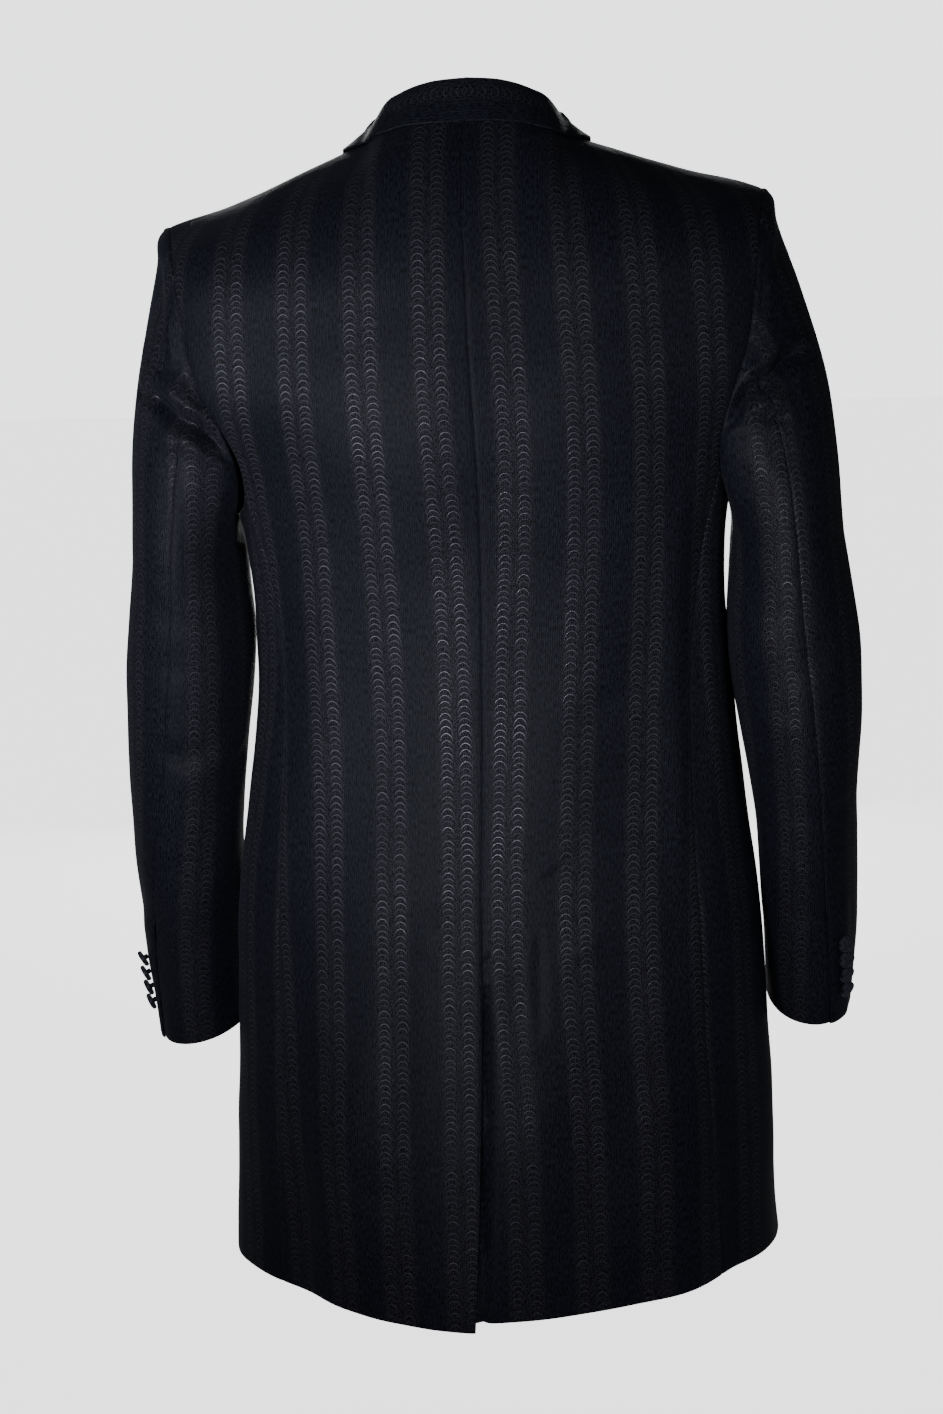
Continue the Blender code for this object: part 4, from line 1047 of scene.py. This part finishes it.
def makeSleeve(side):
    steps = lambda length: closeSteps(length, sleeves["step"]) / length
    share = steps(sleeves["length"])[:, None]
    back, front = (np.radians(read(sleeveSeams, seam, share)) for seam in ("back", "front"))
    turn = (front - 2 * math.pi) + (back - front + 2 * math.pi) * steps(sleeves["upperWidth"])
    upper = sleevePanel("upper", side, turn, share, back)
    start = back - softStep(ventShare, ventShare + 0.03, share) * sleeves["underlap"] / sleeves["reach"]
    turn = start + (front - start) * steps(sleeves["underWidth"])
    return upper, sleevePanel("under", side, turn, share, back)


collar = {"bend": 0.0085, "offBack": 0.0024, "offFront": 0.0014, "neckMiddle": (0.0, -0.01, 0.0)}


def collarRows(side, rows, share, front):
    get = lambda name: read(rows, name, share)
    if front:
        baseLevel = np.interp(share, rows["at"], rows["baseLevel"])
        baseX = frontEdge(np.maximum(baseLevel, cut["lapelBreak"]))
    else:
        baseLevel = np.zeros_like(share)
        baseX = cut["neckHalfWidth"] * np.sin(share * math.pi / 2)
    baseTheta = angleAt(baseX, baseLevel, front)
    base, baseNormal = coat(side, baseTheta, baseLevel)
    base = base + baseNormal * cut["seamGap"]
    toNeck = unit(np.array(collar["neckMiddle"]) - base * np.array([1.0, 1.0, 0.0]))
    standing = unit(np.array([0.0, 0.0, 1.0]) * get("rise")[:, None] + toNeck * get("lean")[:, None])
    flat = softStep(0.0, 0.22, share)[:, None] if front else np.zeros((len(share), 1))
    way = unit(standing * (1 - flat) + baseNormal * flat)
    fold = base + way * get("rise")[:, None]
    edgeTheta = angleAt(get("edgeX"), get("edgeLevel"), front)
    return base, fold, way, baseTheta, baseLevel, edgeTheta, get("edgeLevel")


def makeCollar(side):
    backShare = np.linspace(0, 1, 34)
    lowEnd = -0.385
    frontLevel = np.concatenate([-np.linspace(0, 0.1, 30)[1:], np.linspace(-0.1, lowEnd, 74)[1:]])
    frontShare = np.interp(-frontLevel, -collarFront["baseLevel"], collarFront["at"])
    halves = (
        collarRows(side, collarBack, backShare, False),
        collarRows(side, collarFront, frontShare, True),
    )
    base, fold, way, baseTheta, baseLevel, edgeTheta, edgeLevel = [np.concatenate(p) for p in zip(*halves)]
    isFront = np.arange(len(base)) >= len(backShare)
    base = base + way * cut["seamGap"] * 1.5
    down = np.concatenate([np.linspace(0, 1, 36)[:-1], 1 - np.array([0.018, 0.010, 0.004, 0])])
    first = 5  # the column where the fold's bend ends
    theta = baseTheta[:, None] + (edgeTheta - baseTheta)[:, None] * down
    level = baseLevel[:, None] + (edgeLevel - baseLevel)[:, None] * down
    clear = cut["collarWall"] / 2 + np.where(isFront, collar["offFront"], collar["offBack"])[:, None]
    lying, normal = coat(side, theta, level)
    lying = lying + normal * clear[..., None]
    lift = fold - lying[:, 0]
    fall = lying + lift[:, None] * ((1 - down) ** 1.6)[None, :, None]
    corner = fall[:, 0]
    standLength = np.linalg.norm(base - corner, axis=1, keepdims=True)
    before = corner + unit(base - corner) * np.minimum(collar["bend"], 0.42 * standLength)
    after = fall[:, first]
    grid = [base + (before - base) * t for t in np.linspace(0, 1, 6)]
    grid += [bent(t, before, corner, after) for t in np.linspace(0, 1, 9)[1:-1]]
    grid += [fall[:, i] for i in range(first, len(down))]
    middle = np.stack(grid, axis=1)
    middle[0, :, 0] = side * cut["seamGap"] / 2
    normal = unit(np.cross(np.gradient(middle, axis=0), np.gradient(middle, axis=1)))
    normal[0, :, 0] = 0
    normal = unit(normal)
    along, across = lengths(middle, 0), lengths(middle, 1)
    uneven = ripple(middle, 40, 0.08, 0.0004) * softStep(0.010, 0.04, across)
    middle = middle + normal * uneven[..., None]
    # The edge is thinner pressed cloth, with a soft welt just inside it
    fromEdge = across[:, -1:] - across
    thick = cut["collarWall"] * (0.72 + 0.28 * softStep(0.0, 0.004, fromEdge))
    outer = middle + normal * (thick / 2 + seamDip(along, True) * 0.8)[..., None]
    inner = middle - normal * (thick / 2)[..., None]
    lengthAlong = lengths(middle[:, 14], 0)[:, None] + 0 * across
    uv = np.stack([across - 0.0005, lengthAlong], axis=-1)
    name = "cloth_collar_" + sideName[side]
    return wall(name, pose(outer), pose(inner), uv, (1, 1, 1, 0), [collarCloth])


# Flat width and length of each sheet and its area; the right back reaches under the vent
sheets = {
    "back_left": ((0.255, 0.96), 0.183),
    "back_right": ((0.255, 0.96), 0.193),
    "side_body": ((0.165, 0.66), 0.1006),
    "front": ((0.27, 0.96), 0.178),
    "sleeve_upper": ((0.25, 0.66), 0.1205),
    "sleeve_under": ((0.17, 0.55), 0.0785),
    "collar": ((0.11, 0.50), 0.040),
}
for side in (left, right):
    made = {"back": makeBack(side), "side_body": makeSide(side), "front": makeFront(side)}
    made["sleeve_upper"], made["sleeve_under"] = makeSleeve(side)
    made["collar"] = makeCollar(side)
    for kind, piece in made.items():
        node = f"{kind}_{sideName[side]}"
        flat, area = sheets.get(node) or sheets[kind]
        if kind == "collar":
            place(piece, "collar_jacquard", node, flat, area, held="folded")
        else:
            place(piece, "jacquard", node, flat, area)
print("panels made")


# Half of a button's outline: shares of its radius and its height, from the thread shank up
buttonOutline = tuples("""
    0 -0.7
    0.28 -0.7
    0.3 0
    0.86 0
    0.955 0.12
    1 0.36
    0.985 0.58
    0.93 0.76
    0.8 0.88
    0.55 0.96
    0.25 0.99
    0 1
""")


def makeButton(node, diameter, height, point, facing):
    angle = np.linspace(0, 2 * math.pi, 48, endpoint=False)
    out, up = buttonOutline.T[..., None]
    # Cloth gathered under the rim makes it a little uneven
    uneven = (0.010 * np.sin(9 * angle + 1) + 0.006 * np.sin(14 * angle)) * (up < 0.5) * (out > 0.5)
    radius = out * diameter / 2 * (1 + uneven)
    grid = np.stack([radius * np.cos(angle), radius * np.sin(angle), up * height + 0 * angle], axis=-1)
    vertices = np.concatenate([grid[1:-1].reshape(-1, 3), grid[[0, -1], 0]])
    low, top = len(vertices) - 2, len(vertices) - 1
    index = np.arange(low).reshape(-1, len(angle))
    beside = np.roll(index, -1, axis=1)
    faces = np.stack([index[:-1], beside[:-1], beside[1:], index[1:]], -1).reshape(-1, 4).tolist()
    faces += [[low, b, a] for a, b in zip(index[0].tolist(), beside[0].tolist())]
    faces += [[top, a, b] for a, b in zip(index[-1].tolist(), beside[-1].tolist())]
    turn = Vector(facing).to_track_quat("Z", "Y").to_matrix()
    moved = vertices @ np.array(turn).T + np.array(point)
    piece = makePiece("cloth_" + node, moved, faces, vertices[:, :2] + 0.028, [buttonCloth])
    place(piece, "covered_button", node)


# How far each cuff button leans on its thread: its upper rim out, then round to the back
buttonLeans = {
    left: ((-0.46, 0.10), (-0.42, 0.05), (-0.38, 0.0), (-0.36, 0.05)),
    right: ((-0.20, 0.55), (-0.15, 0.50), (-0.30, 0.15), (-0.32, 0.10)),
}
for side in (left, right):
    for number in range(4):
        above = sleeves["lastButton"] + sleeves["buttonPitch"] * number
        share = 1 - above * sharePerMetre
        seam = float(np.radians(read(sleeveSeams, "back", share)))
        turn = seam - sleeves["buttonInset"] / sleeves["reach"]
        point, normal = sleeve(side, np.array([turn]), np.array([share]))
        lift = overCuffVent(turn, share, seam) + cut["seamGap"]
        up, toBack = buttonLeans[side][3 - number]
        facing = unit(normal[0] + np.array([0.0, 0.0, up]) + np.array([0.0, toBack, 0.0]))
        lift += sleeves["button"] / 2 * math.sqrt(1 - float(facing @ normal[0]) ** 2) * 0.9
        lift += creased(point, sleeve, side, sleeveCreases[side])[0] + rippled(point)[0]
        where = pose(point + normal * lift)[0]
        node = f"cuff_button_{sideName[side]}_{number + 1}"
        makeButton(node, sleeves["button"], sleeves["buttonHeight"], where, facing)
frontButton = {"button": 0.0200, "buttonHeight": 0.0050, "below": 0.012, "lift": 0.00045}
level = np.array([cut["lapelBreak"] - frontButton["below"]])
point, normal = coat(left, angleAt(np.array([0.0]), level, front=True), level)
where = (point + normal * frontButton["lift"])[0]
makeButton("front_button", frontButton["button"], frontButton["buttonHeight"], where, normal[0])
print("buttons made")


# Stage, light and camera
stage = {
    "floor": -1.02,
    "floorSize": 28.0,
    "colour": (0.86, 0.86, 0.87, 1),
    "paper": (0.30, 0.30, 0.31, 1),
    "glow": 2.7,
    "sky": (0.95, 0.96, 0.98, 1),
    "ambient": 0.05,
    "backdrop": 2.65,
}


def toCamera(tree, socket, shown):
    # What the backdrop and floor show is brighter than the light that they give
    path = tree.nodes.new("ShaderNodeLightPath")
    level = tree.nodes.new("ShaderNodeMapRange")
    tree.links.new(path.outputs["Is Camera Ray"], level.inputs["Value"])
    level.inputs["To Min"].default_value = stage["ambient"]
    level.inputs["To Max"].default_value = shown
    tree.links.new(level.outputs[0], socket)


def makeFloor():
    mesh = bpy.data.meshes.new("floor")
    x = y = stage["floorSize"] / 2
    corners = [(-x, -y), (x, -y), (x, y), (-x, y)]
    mesh.from_pydata([(*corner, stage["floor"]) for corner in corners], [], [(0, 1, 2, 3)])
    n = Nodes("pale floor")
    grain = n.noise(n.add("ShaderNodeTexCoord").outputs["Object"], 40.0, 3.0)
    paper = stage["paper"]
    darker = tuple(c * 0.8 for c in paper[:3]) + (1,)
    n.shade(BaseColor=n.mix(grain, darker, paper), Roughness=0.8, EmissionColor=stage["colour"])
    n.bump(grain, 0.0001, 0.5)
    toCamera(n.tree, n.shader.inputs["Emission Strength"], stage["glow"])
    mesh.materials.append(n.material)
    floor = bpy.data.objects.new("floor", mesh)
    bpy.context.scene.collection.objects.link(floor)


def makeLight(name, place, aim, size, power, colour, spread=180):
    lamp = bpy.data.lights.new(name, "AREA")
    lamp.shape = "RECTANGLE"
    lamp.size, lamp.size_y = size
    lamp.energy = power
    lamp.color = colour
    lamp.spread = math.radians(spread)
    made = bpy.data.objects.new(name, lamp)
    made.location = place
    made.visible_camera = False
    made.rotation_mode = "QUATERNION"
    made.rotation_quaternion = (Vector(aim) - Vector(place)).to_track_quat("-Z", "Y")
    bpy.context.scene.collection.objects.link(made)


def makeWorld():
    world = bpy.data.worlds.new("studio")
    world.use_nodes = True
    tree = world.node_tree
    back = tree.nodes["Background"]
    back.inputs["Color"].default_value = stage["sky"]
    toCamera(tree, back.inputs["Strength"], stage["backdrop"])
    bpy.context.scene.world = world


makeFloor()
makeWorld()
makeLight("key", (0.28, 1.40, -0.46), (0.05, 0.1, -0.35), (0.5, 0.4), 2.8, (0.97, 0.98, 1.0), 70)
makeLight("fill", (-1.7, 1.6, -0.2), (0.0, 0.0, -0.25), (1.0, 1.0), 3.2, (0.95, 0.97, 1.0), 120)
makeLight("sleeve", (1.2, 1.3, -0.1), (0.27, 0.0, -0.22), (0.3, 0.3), 0.8, (0.95, 0.97, 1.0), 40)
makeLight("front", (0.3, -2.4, -0.1), (0.0, 0.0, -0.4), (1.4, 1.4), 34.0, (1.0, 1.0, 1.0))


# At the height of the neck, a little to the wearer's right of straight behind; degrees
view = {
    "distance": 2.43,
    "height": -0.09,
    "yaw": 6.0,
    "aside": 0.39,
    "pitch": 8.7,
    "roll": -1.8,
    "lens": 79.2,
}


def makeCamera():
    yaw, aside, pitch, roll = (math.radians(view[name]) for name in ("yaw", "aside", "pitch", "roll"))
    eye = Vector((-view["distance"] * math.sin(yaw), view["distance"] * math.cos(yaw), view["height"]))
    forward = Vector((math.sin(yaw + aside), -math.cos(yaw + aside), 0)) * math.cos(pitch)
    forward.z = -math.sin(pitch)
    across = forward.cross(Vector((0, 0, 1))).normalized()
    turn = Matrix((across, across.cross(forward), -forward)).transposed().to_4x4()
    camera = bpy.data.objects.new("camera", bpy.data.cameras.new("camera"))
    camera.data.sensor_fit = "VERTICAL"
    camera.data.sensor_height = 36
    camera.data.lens = view["lens"]
    camera.matrix_world = Matrix.Translation(eye) @ turn @ Matrix.Rotation(roll, 4, "Z")
    bpy.context.scene.collection.objects.link(camera)
    bpy.context.scene.camera = camera


makeCamera()
print("stage made")
